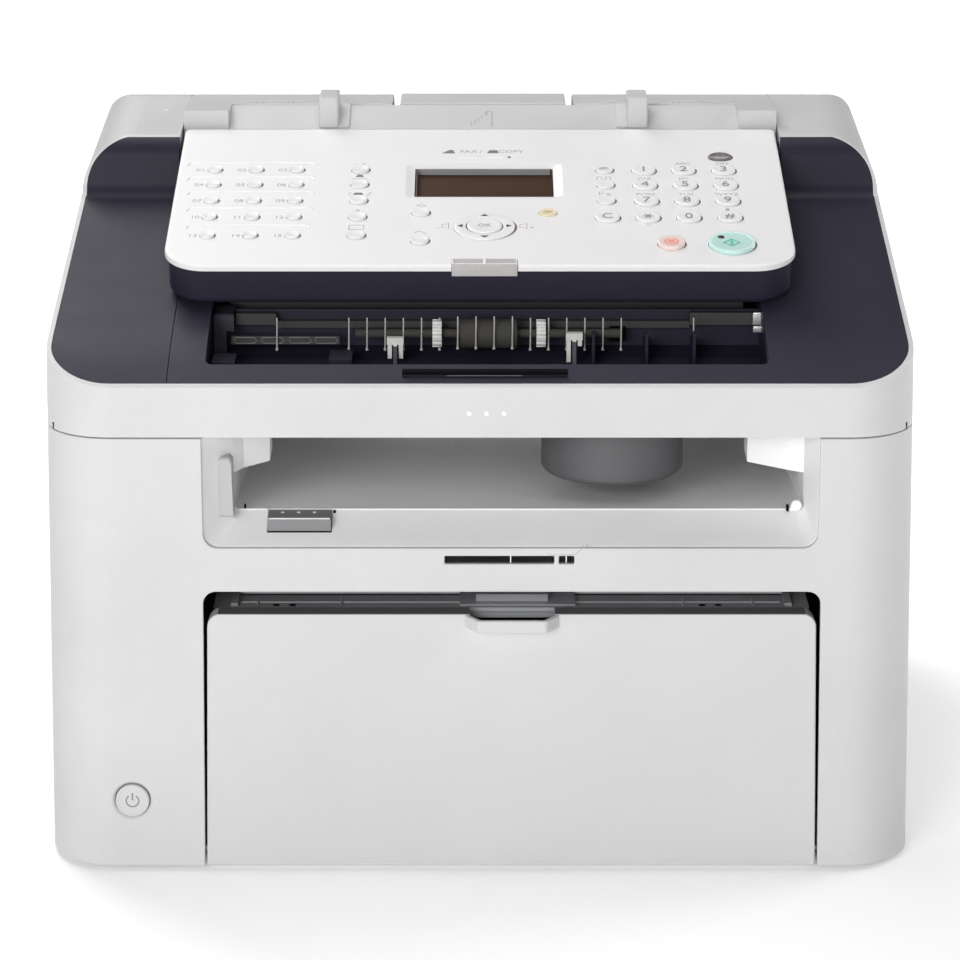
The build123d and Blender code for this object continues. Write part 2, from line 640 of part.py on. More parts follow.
with BuildPart() as drive_unit:
    with BuildSketch(Plane.YZ.offset(FRAME_RIGHT + 1.2)):
        with Locations((60, 90)):
            RectangleRounded(110, 130, 8)
    extrude(amount=3)
    for gear_y, gear_z, gear_radius in ((30, 74, 22), (72, 108, 17), (96, 142, 15), (60, 50, 14)):
        with BuildSketch(Plane.YZ.offset(FRAME_RIGHT + 4.2)):
            with Locations((gear_y, gear_z)):
                Circle(gear_radius)
        extrude(amount=7)
    with BuildSketch(Plane.YZ.offset(FRAME_RIGHT + 4.2)):
        with Locations((24, 128)):
            Circle(20)
    extrude(amount=18)
save("drive_unit", drive_unit.part)

with BuildPart() as electronics:
    with BuildSketch(Plane.YZ.offset(FRAME_LEFT - 14)):
        with Locations((20, 92)):
            Rectangle(190, 140)
    extrude(amount=1.6)
    with BuildSketch(Plane.YZ.offset(FRAME_LEFT - 14)):
        with Locations((-40, 120), (40, 70)):
            Rectangle(30, 30)
        with Locations((70, 130)):
            Rectangle(34, 20)
    extrude(amount=-4)
    with BuildSketch(Plane.YZ.offset(FRAME_LEFT - 14)):
        with Locations((60, 44)):
            Rectangle(50, 36)
    extrude(amount=-30)
save("electronics", electronics.part)

with BuildPart() as rear_connectors:
    with BuildSketch(Plane.XZ.offset(-BACK + 9)):
        with Locations((INLET_X, INLET_Z)):
            RectangleRounded(43, 29, 3)
        with Locations((JACK_X, JACK_Z)):
            RectangleRounded(43, 21, 2)
    extrude(amount=-8)
    # the mains inlet's well, with its three blades
    with BuildSketch(Plane.XZ.offset(-BACK + 1)):
        with Locations((INLET_X, INLET_Z)):
            RectangleRounded(25, 18, 3)
        with Locations((INLET_X - 7, INLET_Z - 2), (INLET_X, INLET_Z + 3), (INLET_X + 7, INLET_Z - 2)):
            Rectangle(2, 4, mode=Mode.SUBTRACT)
    extrude(amount=6.5, mode=Mode.SUBTRACT)
    # two telephone jacks and a data port
    with BuildSketch(Plane.XZ.offset(-BACK + 1)):
        with Locations((JACK_X - 13, JACK_Z), (JACK_X, JACK_Z)):
            Rectangle(9.6, 8)
            with Locations((0, -5)):
                Rectangle(4, 2)
        with Locations((JACK_X + 13, JACK_Z)):
            Rectangle(8.4, 7.6)
    extrude(amount=6.5, mode=Mode.SUBTRACT)
save("rear_connectors", rear_connectors.part)

with BuildPart() as power_button:
    with BuildSketch(Plane.XZ.offset(-FRONT + 0.4)):
        with Locations((POWER_X, POWER_Z)):
            Circle(POWER_RADIUS)
    extrude(amount=-7)
    fillet(faces().sort_by(Axis.Y)[0].edges(), 0.6)
save("power_button", power_button.part)


# ---------------------------------------------------------------- reader unit
FAR = 320.0
CHANNEL_FLOOR = 250.0
DECK_TOP_DROP = 0.3


def channel(half, lower):
    """The straight channel between the shoulders that the panel and feeder sit in."""
    points = [
        (120, deck_height(120) - lower),
        (FEEDER_FRONT - 0.6 + lower, deck_height(FEEDER_FRONT) - lower),
        (FEEDER_FRONT - 0.6 + lower, CHANNEL_FLOOR - lower),
        (FAR, CHANNEL_FLOOR - lower),
        (FAR, 340),
        (120, 340),
    ]
    return side_slab(points, -half, half)


def upper_solid(inset):
    """The reader unit's outer form, drawn in by an inset, without its channel."""
    with BuildPart() as solid:
        add(body_envelope(inset, SEAM - 5, 305))
        add(upper_profile(inset), mode=Mode.INTERSECT)
        add(shoulder_limit(inset, inset), mode=Mode.INTERSECT)
        add(channel(CHANNEL_HALF_WIDTH + inset, inset), mode=Mode.SUBTRACT)
    return solid.part


def deck_skin(rim, thickness):
    """The layer that the dark deck covers: the deck, the riser and the channel's floor."""
    end = SHOULDER_EDGE + 6.5 - rim
    limits = side_slab([(-20, 205), (end, 205), (end, 330), (-20, 330)], -200, 200)
    front_top = FRONT_RIM - thickness / cos(atan(FRONT_ROLL_SLOPE))
    behind_rim = [
        (-20, 190),
        (12, 190),
        (12, front_top + 12 * FRONT_ROLL_SLOPE),
        (0, front_top),
        (-20, front_top),
    ]
    with BuildPart() as below:
        add(upper_profile(thickness))
        add(side_slab(behind_rim, -200, 200))
        add(channel(CHANNEL_HALF_WIDTH + thickness, thickness), mode=Mode.SUBTRACT)
    with BuildPart() as skin:
        add(body_envelope(rim, SEAM - 5, 305))
        add(upper_profile(0), mode=Mode.INTERSECT)
        add(shoulder_limit(rim, DECK_TOP_DROP), mode=Mode.INTERSECT)
        add(channel(CHANNEL_HALF_WIDTH, 0), mode=Mode.SUBTRACT)
        add(below.part, mode=Mode.SUBTRACT)
        add(limits, mode=Mode.INTERSECT)
    return skin.part


PANEL_AXIS = (193.2, 281.3)
PANEL_PIN = 2.0
COVER_PLAY = 0.15
COVER_SPLIT = -131.5
SLIT = (-32.7, 36.9, 5.7, 10.7)
cover_skin = deck_skin(RIM, COVER_THICKNESS)
cover_bed = deck_skin(RIM - COVER_PLAY, COVER_THICKNESS + 1.2)
reader_form = upper_solid(0)
reader_hollow = upper_solid(WALL)

with BuildPart() as upper_frame:
    add(reader_form)
    add(reader_hollow, mode=Mode.SUBTRACT)
    add(cover_bed, mode=Mode.SUBTRACT)
    with Locations((0, 0, SEAM - 1)):
        Box(2 * (half_width(SEAM) - WALL - 1), BACK - FRONT - 2 * WALL - 30, 8, mode=Mode.SUBTRACT)
    # notches for the hinge knuckles, each crossed by a pin
    for knuckle_x in (-KNUCKLE_X, KNUCKLE_X):
        with Locations((knuckle_x, BACK - 8, SEAM + 6)):
            Box(KNUCKLE_WIDTH + 2, 24, 24, mode=Mode.SUBTRACT)
        for web_x in (knuckle_x - KNUCKLE_WIDTH / 2 - 3.5, knuckle_x + KNUCKLE_WIDTH / 2 + 1):
            with BuildSketch(axis_plane(web_x, *READER_AXIS)):
                Circle(HINGE_BARREL)
            extrude(amount=2.5)
        with BuildSketch(axis_plane(knuckle_x - KNUCKLE_WIDTH / 2 - 4, *READER_AXIS)):
            Circle(HINGE_PIN)
        extrude(amount=KNUCKLE_WIDTH + 8)
    with BuildSketch(axis_plane(-CHANNEL_HALF_WIDTH - 6, depth(PANEL_AXIS[0]), PANEL_AXIS[1])):
        Circle(PANEL_PIN + FIT)
    extrude(amount=2 * CHANNEL_HALF_WIDTH + 12, mode=Mode.SUBTRACT)
save("upper_frame", upper_frame.part)

slit_points = [(SLIT[2], 205), (SLIT[3], 205), (SLIT[3], 330), (SLIT[2], 330)]
with BuildPart() as top_cover:
    add(cover_skin)
    split(bisect_by=Plane.YZ.offset(COVER_SPLIT + COVER_PLAY), keep=Keep.TOP)
    with BuildSketch(Plane.XY.offset(205)):
        with Locations(((WELL_LEFT + WELL_RIGHT) / 2, depth((WELL_FRONT + WELL_REAR) / 2))):
            Rectangle(WELL_RIGHT - WELL_LEFT, WELL_REAR - WELL_FRONT)
        fillet(vertices().group_by(Axis.Y)[0], WELL_CORNER)
    extrude(amount=125, mode=Mode.SUBTRACT)
    add(side_slab(slit_points, SLIT[0], SLIT[1]), mode=Mode.SUBTRACT)
save("top_cover", top_cover.part)

with BuildPart() as left_top_cover:
    add(cover_skin)
    split(bisect_by=Plane.YZ.offset(COVER_SPLIT - COVER_PLAY), keep=Keep.BOTTOM)
save("left_top_cover", left_top_cover.part)

BED_DEPTH = 23.0
BED_FLOOR = 207.0
BED_SHEET = 2.0
BED_TOP_DROP = 3.9
ROLL_END = 40.0
ROLL_DROP = 3.6
RIB_FRONT = 50.0
RIB_STEP = 57.0
RIB_REAR = 72.0
FEED_ROLLER = (61.0, 225.5)


def bed_section(grow):
    """The well's side section: a level sill, then a floor that runs along under the deck."""
    knee = 62.0
    rear = WELL_REAR + grow
    slope_drop = BED_TOP_DROP if grow else -12.0
    return [
        (WELL_FRONT - grow, BED_FLOOR - grow),
        (46.0, BED_FLOOR - grow),
        (knee, deck_height(knee) - BED_DEPTH - grow),
        (rear, deck_height(rear) - BED_DEPTH - grow),
        (rear, deck_height(rear) - slope_drop),
        (ROLL_END, deck_height(ROLL_END) - slope_drop),
        (WELL_FRONT - grow, deck_height(WELL_FRONT) - ROLL_DROP - slope_drop),
    ]


RIB_PLACES = [49.0, 72.0, 92.5]
rib_section = [
    (RIB_FRONT, 206),
    (RIB_REAR, 206),
    (RIB_REAR, 221.5),
    (RIB_STEP, 221.5),
    (RIB_STEP, 227.6),
    (RIB_FRONT, 227.6),
]
with BuildPart() as scan_bed:
    add(side_slab(bed_section(BED_SHEET), WELL_LEFT - BED_SHEET, WELL_RIGHT + BED_SHEET))
    add(side_slab(bed_section(0), WELL_LEFT, WELL_RIGHT), mode=Mode.SUBTRACT)
    # upright guide wall behind the roller, with fins in front of it
    add(side_slab([(74, 214), (76, 214), (76, 233), (74, 233)], WELL_LEFT, WELL_RIGHT))
    for place in RIB_PLACES:
        add(side_slab(rib_section, place - 0.7, place + 0.7))
    with BuildSketch(Plane.XY.offset(BED_FLOOR)):
        with Locations((-110, depth(44)), (-60, depth(50))):
            Rectangle(10, 16)
    extrude(amount=12)
save("scan_bed", scan_bed.part)

FEED_WHEELS = [(0, 25)]
roller("feed_roller", (depth(FEED_ROLLER[0]), FEED_ROLLER[1]), (-54.0, 61.0), 2.0, 6.5, FEED_WHEELS)

with BuildPart() as spur_wheels:
    for place in (-18.6, 26.5):
        with BuildSketch(axis_plane(place - 2, depth(FEED_ROLLER[0]), FEED_ROLLER[1])):
            Circle(6.0)
            with PolarLocations(6.0, 12):
                Circle(0.9, mode=Mode.SUBTRACT)
            Circle(2.0, mode=Mode.SUBTRACT)
        extrude(amount=4)
save("spur_wheels", spur_wheels.part)

LEVER_AXIS = (46.0, 210.4)
LEVER_LEAN = 6.2
PRONG_DROP = 9.4
for side, lever_x, lever_top, left_drop in (("left", -36.6, 226.0, 0.0), ("right", 40.7, 228.0, 3.6)):
    with BuildPart() as sensor_lever:
        with BuildSketch(axis_plane(lever_x - 3, depth(LEVER_AXIS[0]), LEVER_AXIS[1])):
            Circle(1.6)
        extrude(amount=6)
        with BuildSketch(axis_plane(lever_x - 0.8, depth(LEVER_AXIS[0]), 0)):
            with BuildLine():
                Polyline(
                    (-1.4, LEVER_AXIS[1]),
                    (1.6, LEVER_AXIS[1]),
                    (LEVER_LEAN + 0.6, lever_top - 4),
                    (LEVER_LEAN + 1.6, lever_top - 0.5),
                    (LEVER_LEAN - 1.6, lever_top - 0.5),
                    (LEVER_LEAN - 2.0, lever_top - 4),
                    close=True,
                )
            make_face()
        extrude(amount=1.6)
        # forked cap: a plate with a prong at each side of the stem
        with BuildSketch(axis_plane(lever_x - 3.6, depth(LEVER_AXIS[0]), 0)):
            with Locations((LEVER_LEAN, lever_top - 1.5)):
                Rectangle(3.4, 3)
        extrude(amount=7.2)
        for prong_x, drop in ((lever_x - 3.3, PRONG_DROP + left_drop), (lever_x + 1.5, PRONG_DROP - left_drop)):
            with BuildSketch(axis_plane(prong_x, depth(LEVER_AXIS[0]), 0)):
                with Locations((LEVER_LEAN, lever_top - drop / 2)):
                    Rectangle(1.8, drop)
            extrude(amount=1.8)
    save(f"{side}_sensor_lever", sensor_lever.part)

sensor_points = [
    (86, deck_height(86) - BED_DEPTH + 0.3),
    (108, deck_height(108) - BED_DEPTH + 0.3),
    (108, deck_height(108) - 9),
    (86, deck_height(86) - 9),
]
with BuildPart() as image_sensor:
    add(side_slab(sensor_points, WELL_LEFT + 6, WELL_RIGHT - 6))
    chamfer(edges().filter_by(Axis.X).group_by(Axis.Z)[-1], 2)
save("image_sensor", image_sensor.part)

FLOOR_LOW, FLOOR_HIGH = 198.8, 201.2
BULGE_X, BULGE_DISTANCE, BULGE_RADIUS, BULGE_LOW = 57.8, 61.0, 31.0, 165.0
BULGE_ROUND = 3.0
with BuildPart() as reader_floor:
    add(body_envelope(WALL + 0.6, FLOOR_LOW, FLOOR_HIGH))
    split(bisect_by=Plane.XZ.offset(-BACK + 23), keep=Keep.TOP)
    with BuildSketch(Plane.XY.offset(BULGE_LOW)):
        with Locations((BULGE_X, depth(BULGE_DISTANCE))):
            Circle(BULGE_RADIUS)
    extrude(amount=FLOOR_HIGH - BULGE_LOW)
    fillet(faces().sort_by(Axis.Z)[0].edges(), BULGE_ROUND)
    with BuildSketch(Plane.XY.offset(BULGE_LOW + 2)):
        with Locations((BULGE_X, depth(BULGE_DISTANCE))):
            Circle(BULGE_RADIUS - 2)
    extrude(amount=FLOOR_HIGH - BULGE_LOW, mode=Mode.SUBTRACT)
save("reader_floor", reader_floor.part)

# ---------------------------------------------------------------- document feeder
FEEDER_HALF = 138.4
FEEDER_LOW = 250.6
FEEDER_TOP = (296.0, 292.5)
FEEDER_TOP_END = 262.0
RECESS_LEFT, RECESS_RIGHT, RECESS_BACK = -117.5, 120.8, 229.0
RECESS_SLOPE = 0.26
RECESS_FRONT_HEIGHT = 287.2
FLAP_LEFT, FLAP_RIGHT, FLAP_FRONT, FLAP_REAR = -37.9, 40.7, 230.0, 277.0
NOTCH_LEFT, NOTCH_RIGHT, NOTCH_FLOOR = -41.6, 44.4, 277.0
recess_back_height = RECESS_FRONT_HEIGHT + RECESS_SLOPE * (RECESS_BACK - FEEDER_FRONT)
feeder_block = [
    (FEEDER_FRONT, FEEDER_LOW),
    (FEEDER_FRONT, FEEDER_TOP[0]),
    (FEEDER_TOP_END, FEEDER_TOP[1] + 0.2),
    (FAR, FEEDER_TOP[1]),
    (FAR, FEEDER_LOW),
]
wedge = [
    (FEEDER_FRONT, 280),
    (FEEDER_FRONT, FEEDER_TOP[0]),
    (FEEDER_TOP_END, FEEDER_TOP[1]),
    (FEEDER_TOP_END, 280),
]
recess = [
    (FEEDER_FRONT - 1, RECESS_FRONT_HEIGHT - RECESS_SLOPE),
    (RECESS_BACK, recess_back_height),
    (RECESS_BACK, 305),
    (FEEDER_FRONT - 1, 305),
]
notch = [(RECESS_BACK - 0.01, NOTCH_FLOOR), (FAR, NOTCH_FLOOR), (FAR, 305), (RECESS_BACK - 0.01, 305)]
hollow = [
    (FEEDER_FRONT + WALL, FEEDER_LOW - 1),
    (FEEDER_FRONT + WALL, RECESS_FRONT_HEIGHT - WALL),
    (RECESS_BACK, recess_back_height - WALL),
    (262, 289.0),
    (286, 279.0),
    (298, 262.0),
    (300.5, FEEDER_LOW - 1),
]
feeder_outline = side_slab(feeder_block, -FEEDER_HALF, FEEDER_HALF)
with BuildPart() as feeder_tray:
    add(upper_profile(0))
    add(side_slab(wedge, -FEEDER_HALF, FEEDER_HALF))
    add(feeder_outline, mode=Mode.INTERSECT)
    add(side_slab(recess, RECESS_LEFT, RECESS_RIGHT), mode=Mode.SUBTRACT)
    add(side_slab(notch, NOTCH_LEFT, NOTCH_RIGHT), mode=Mode.SUBTRACT)
    add(side_slab(hollow, -FEEDER_HALF + WALL, NOTCH_LEFT - WALL), mode=Mode.SUBTRACT)
    add(side_slab(hollow, NOTCH_RIGHT + WALL, FEEDER_HALF - WALL), mode=Mode.SUBTRACT)
save("feeder_tray", feeder_tray.part)

with BuildPart() as feeder_flap:
    add(upper_profile(0))
    flap_block = [(FLAP_FRONT, 270), (FLAP_FRONT, 294.5), (FLAP_REAR, 294.5), (FLAP_REAR, 270)]
    add(side_slab(flap_block, FLAP_LEFT, FLAP_RIGHT), mode=Mode.INTERSECT)
    flap_lift = [(FLAP_FRONT, 284), (FLAP_FRONT, 294.6), (FEEDER_TOP_END, 293.2), (FEEDER_TOP_END, 284)]
    add(side_slab(flap_lift, FLAP_LEFT, FLAP_RIGHT))
    flap_under = [
        (FLAP_FRONT - 1, 260),
        (FLAP_FRONT - 1, 291.0),
        (FEEDER_TOP_END, 289.6),
        (FLAP_REAR - 5, 286.6),
        (FLAP_REAR - 5, 260),
    ]
    add(side_slab(flap_under, FLAP_LEFT - 1, FLAP_RIGHT + 1), mode=Mode.SUBTRACT)
    flap_rear = [(FLAP_REAR - 6, 260), (FLAP_REAR - 6, 283.4), (FLAP_REAR + 1, 283.4), (FLAP_REAR + 1, 260)]
    add(side_slab(flap_rear, FLAP_LEFT - 1, FLAP_RIGHT + 1), mode=Mode.SUBTRACT)
save("feeder_flap", feeder_flap.part)

GUIDE_TOP = 301.7
GUIDE_FRONT, GUIDE_BACK = 204.6, 228.0
GUIDE_FOOT = 0.8
GUIDE_REACH = 5.0
for side, outer, inner in (("left", -75.3, -66.2), ("right", 78.4, 68.9)):
    floor = [
        (GUIDE_FRONT, RECESS_FRONT_HEIGHT + RECESS_SLOPE * (GUIDE_FRONT - FEEDER_FRONT) + GAP),
        (GUIDE_BACK, RECESS_FRONT_HEIGHT + RECESS_SLOPE * (GUIDE_BACK - FEEDER_FRONT) + GAP),
    ]
    upright = floor + [(GUIDE_BACK, GUIDE_TOP), (GUIDE_FRONT, GUIDE_TOP)]
    foot = floor + [(distance, height + GUIDE_FOOT) for distance, height in reversed(floor)]
    low_x, high_x = sorted((outer, inner))
    reach = GUIDE_REACH if outer > inner else -GUIDE_REACH
    with BuildPart() as document_guide:
        add(side_slab(upright, low_x, high_x))
        fillet(edges().filter_by(Axis.X).group_by(Axis.Z)[-1], 1.6)
        fillet(edges().filter_by(Axis.Y).group_by(Axis.Z)[-1], 1.0)
        add(side_slab(foot, min(inner, inner - reach), max(inner, inner - reach)))
    save(f"{side}_document_guide", document_guide.part)

# ---------------------------------------------------------------- control panel
PANEL_LENGTH = along_panel(PANEL_REAR)
KEY_PLAY = 0.25
KEY_ROOT = 2.7
KEY_TRAVEL = 0.8
KEY_LIFT = 1.0
SPECIAL_LIFT = {"start_key": 1.4, "stop_key": 1.4, "menu_key": 0.4, "energy_saver_key": 0.6}
ROWS = (152.4, 136.5, 120.2, 103.4)
NUMBER_COLUMNS = (74.3, 92.4, 110.6)
NUMBER_NAMES = ("1", "2", "3", "4", "5", "6", "7", "8", "9", "star", "0", "hash")
ONE_TOUCH_COLUMNS = (-120.5, -101.7, -83.2)
ONE_TOUCH_LEAN = 0.014
SIDE_ROWS = (153.4, 137.7, 121.0, 104.3, 85.7)
NUMBER_KEY = (10.8, 9.9, 4.5)
SMALL_KEY = (8.0, 7.6, 3.5)
TOUCH_KEY = (6.4, 6.1, 2.8)

single_keys = {
    "menu_key": (30.2, 108.7, SMALL_KEY),
    "clear_key": (56.4, 103.4, NUMBER_KEY),
    "energy_saver_key": (109.9, 167.2, (10.4, 8.2, 4.0)),
    "stop_key": (83.4, 77.2, (11.9, 12.2, 5.9)),
    "start_key": (109.8, 77.0, (20.4, 21.0, 10.1)),
    "ok_key": (2.0, 94.0, (15.4, 15.4, 7.6)),
}
for index, key_name in enumerate(NUMBER_NAMES):
    row, column = divmod(index, 3)
    single_keys[f"number_key_{key_name}"] = (NUMBER_COLUMNS[column], ROWS[row], NUMBER_KEY)

key_mats = {
    "one_touch_keys": (
        [(x + ONE_TOUCH_LEAN * (SIDE_ROWS[0] - s), s) for s in SIDE_ROWS for x in ONE_TOUCH_COLUMNS],
        TOUCH_KEY,
    ),
    "function_keys": ([(-54.4, s) for s in SIDE_ROWS], SMALL_KEY),
    "mode_keys": ([(56.4, s + 0.6) for s in ROWS[:3]], SMALL_KEY),
    "display_keys": ([(-26.4, 108.6), (-26.4, 80.4)], SMALL_KEY),
}
RING_CENTRE = (2.0, 94.0)
RING_OUTER, RING_INNER = 13.4, 8.3
WINDOW = (-29.5, 33.1, 128.4, 158.4)
BEZEL = (-33.6, 37.4, 124.3, 160.6)
BEZEL_DEPTH = 1.5
GLASS_DEPTH = 4.3
LENS = (-12.2, 16.1, 5.3)
LENS_LIP = 5.3


def on_panel(x, distance):
    """A place on the panel's face in its own plane's coordinates."""
    return (x, along_panel(distance))


def panel_window(box, grow):
    """The middle, width and length of a rectangle on the panel's face."""
    left, right, near, far = box
    low, high = along_panel(near), along_panel(far)
    return ((left + right) / 2, (low + high) / 2), right - left + 2 * grow, high - low + 2 * grow


def panel_outline(inset, near, far, level, amount, front_radius):
    """A slab of the panel's plan outline at a level under its face."""
    with BuildPart() as slab:
        with BuildSketch(panel_plane(level)):
            with Locations((0, (near + far) / 2)):
                Rectangle(2 * (PANEL_HALF_WIDTH - inset), far - near)
            fillet(vertices().group_by(Axis.Y)[0], front_radius)
            fillet(vertices().group_by(Axis.Y)[-1], 3)
        extrude(amount=amount)
    return slab.part


def key_outline(width, length, corner, play):
    """The outline of a key, with some play added round it."""
    RectangleRounded(width + 2 * play, length + 2 * play, corner + play)


with BuildPart() as panel_cover:
    add(panel_outline(0, 0, PANEL_LENGTH, -PANEL_SKIN, PANEL_SKIN, PANEL_CORNER))
    top_face = faces().sort_by_distance(panel_plane().origin + (0, 60, 16))[0]
    fillet(top_face.edges(), 1.1)
    for x, distance, (key_width, key_length, key_corner) in single_keys.values():
        with BuildSketch(panel_plane(1)):
            with Locations(on_panel(x, distance)):
                key_outline(key_width, key_length, key_corner, KEY_PLAY)
        extrude(amount=-PANEL_SKIN - 2, mode=Mode.SUBTRACT)
    for places, (key_width, key_length, key_corner) in key_mats.values():
        with BuildSketch(panel_plane(1)):
            with Locations([on_panel(x, distance) for x, distance in places]):
                key_outline(key_width, key_length, key_corner, KEY_PLAY)
        extrude(amount=-PANEL_SKIN - 2, mode=Mode.SUBTRACT)
    with BuildSketch(panel_plane(1)):
        with Locations(on_panel(*RING_CENTRE)):
            Circle(RING_OUTER + KEY_PLAY)
    extrude(amount=-PANEL_SKIN - 2, mode=Mode.SUBTRACT)
    # the display's bevelled recess and its window
    for level, box, grow, corner in ((0.01, BEZEL, 0, 3.2), (-BEZEL_DEPTH, WINDOW, 0.3, 1.0)):
        middle, width, length = panel_window(box, grow)
        with BuildSketch(panel_plane(level)):
            with Locations(middle):
                RectangleRounded(width, length, corner)
    loft(mode=Mode.SUBTRACT)
    middle, width, length = panel_window(WINDOW, 0)
    with BuildSketch(panel_plane(1)):
        with Locations(middle):
            RectangleRounded(width, length, 0.8)
    extrude(amount=-PANEL_SKIN - 2, mode=Mode.SUBTRACT)
    # the indicator's notch in the front edge
    with BuildSketch(panel_plane(1)):
        with Locations(((LENS[0] + LENS[1]) / 2, LENS[2] / 2 - 1)):
            Rectangle(LENS[1] - LENS[0] + 0.3, LENS[2] + 2.15)
    extrude(amount=-PANEL_SKIN - 2, mode=Mode.SUBTRACT)
save("panel_cover", panel_cover.part)

BASE_INSET = 1.6
BASE_ROUND = 3.2
BASE_WALL = 2.4
BASE_REAR = along_panel(198.4)
base_outer_block = panel_outline(
    BASE_INSET,
    1.2,
    BASE_REAR,
    -PANEL_SKIN - PANEL_BASE_DEPTH,
    PANEL_BASE_DEPTH - 0.05,
    PANEL_CORNER - BASE_INSET,
)
base_inner_block = panel_outline(
    BASE_INSET + BASE_WALL,
    1.2 + BASE_WALL,
    BASE_REAR - 16,
    -PANEL_SKIN - PANEL_BASE_DEPTH + BASE_WALL,
    PANEL_BASE_DEPTH,
    PANEL_CORNER - BASE_INSET - BASE_WALL,
)
base_rear_cut = [(198.4, 300), (198.4, 282), (184, 250), (184, 240), (215, 240), (215, 300)]
with BuildPart() as base_block:
    add(base_outer_block)
    under_middle = panel_plane(-PANEL_SKIN - PANEL_BASE_DEPTH).origin + (0, 60, 13)
    under_face = faces().sort_by_distance(under_middle)[0]
    fillet(under_face.edges().sort_by(Axis.Y)[:-3], BASE_ROUND)
with BuildPart() as panel_base:
    add(base_block.part)
    add(base_inner_block, mode=Mode.SUBTRACT)
    add(side_slab(base_rear_cut, -160, 160), mode=Mode.SUBTRACT)
    for pin_x in (-CHANNEL_HALF_WIDTH - 2.2, PANEL_HALF_WIDTH - 6):
        with BuildSketch(axis_plane(pin_x, depth(PANEL_AXIS[0]), PANEL_AXIS[1])):
            Circle(PANEL_PIN)
        extrude(amount=CHANNEL_HALF_WIDTH + 2.2 - PANEL_HALF_WIDTH + 6)
save("panel_base", panel_base.part)

middle, width, length = panel_window(WINDOW, -0.15)
_, frame_width, frame_length = panel_window(WINDOW, 4)
with BuildPart() as display_module:
    with BuildSketch(panel_plane(-BEZEL_DEPTH - 0.2)):
        with Locations(middle):
            RectangleRounded(width, length, 0.7)
    extrude(amount=-2)
    with BuildSketch(panel_plane(-PANEL_SKIN - 0.1)):
        with Locations(middle):
            Rectangle(frame_width, frame_length)
    extrude(amount=-5)
    # the glass lies deep in the frame
    middle, width, length = panel_window(WINDOW, -0.9)
    with BuildSketch(panel_plane(-BEZEL_DEPTH)):
        with Locations(middle):
            RectangleRounded(width, length, 0.4)
    extrude(amount=BEZEL_DEPTH - GLASS_DEPTH, mode=Mode.SUBTRACT)
save("display_module", display_module.part)

with BuildPart() as indicator_lens:
    with BuildSketch(panel_plane(0.5)):
        with Locations(((LENS[0] + LENS[1]) / 2, LENS[2] / 2)):
            Rectangle(LENS[1] - LENS[0], LENS[2])
    extrude(amount=-PANEL_SKIN - 0.4)
    with BuildSketch(panel_plane(0.5)):
        with Locations(((LENS[0] + LENS[1]) / 2, 0)):
            Rectangle(LENS[1] - LENS[0], 2.2)
    extrude(amount=-LENS_LIP)
save("indicator_lens", indicator_lens.part)


def key_cap(places, size, lift):
    """One or more caps that stand a little above the panel's face."""
    key_width, key_length, key_corner = size
    with BuildPart() as cap:
        with BuildSketch(panel_plane(lift)):
            with Locations([on_panel(x, distance) for x, distance in places]):
                RectangleRounded(key_width, key_length, key_corner)
        extrude(amount=-KEY_ROOT - lift)
    return cap.part


for key_name, (x, distance, size) in single_keys.items():
    lift = SPECIAL_LIFT.get(key_name, KEY_LIFT)
    with BuildPart() as key:
        add(key_cap([(x, distance)], size, lift))
        above_key = panel_plane(50).origin + (x, distance - PANEL_FRONT, 0)
        fillet(faces().sort_by_distance(above_key)[0].edges(), 0.5)
    save(key_name, key.part)

MAT = 0.9
for mat_name, (places, size) in key_mats.items():
    columns = [x for x, distance in places]
    spots = [along_panel(distance) for x, distance in places]
    mat_middle = ((min(columns) + max(columns)) / 2, (min(spots) + max(spots)) / 2)
    mat_width = max(columns) - min(columns) + size[0] + 2
    mat_length = max(spots) - min(spots) + size[1] + 2
    with BuildPart() as mat:
        add(key_cap(places, size, KEY_LIFT))
        with BuildSketch(panel_plane(-KEY_ROOT - 0.7)):
            with Locations(mat_middle):
                RectangleRounded(mat_width, mat_length, 3)
        extrude(amount=-MAT)
        with BuildSketch(panel_plane(-KEY_ROOT + 0.1)):
            with Locations([on_panel(x, distance) for x, distance in places]):
                RectangleRounded(size[0] - 1, size[1] - 1, size[2] - 0.5)
        extrude(amount=-1)
    save(mat_name, mat.part)

with BuildPart() as navigation_ring:
    with BuildSketch(panel_plane(0.7)):
        with Locations(on_panel(*RING_CENTRE)):
            Circle(RING_OUTER)
            Circle(RING_INNER, mode=Mode.SUBTRACT)
    extrude(amount=-KEY_ROOT - 0.7)
save("navigation_ring", navigation_ring.part)
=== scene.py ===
import json
from math import cos, pi, radians, sin

import bmesh
import bpy
from mathutils import Matrix, Vector


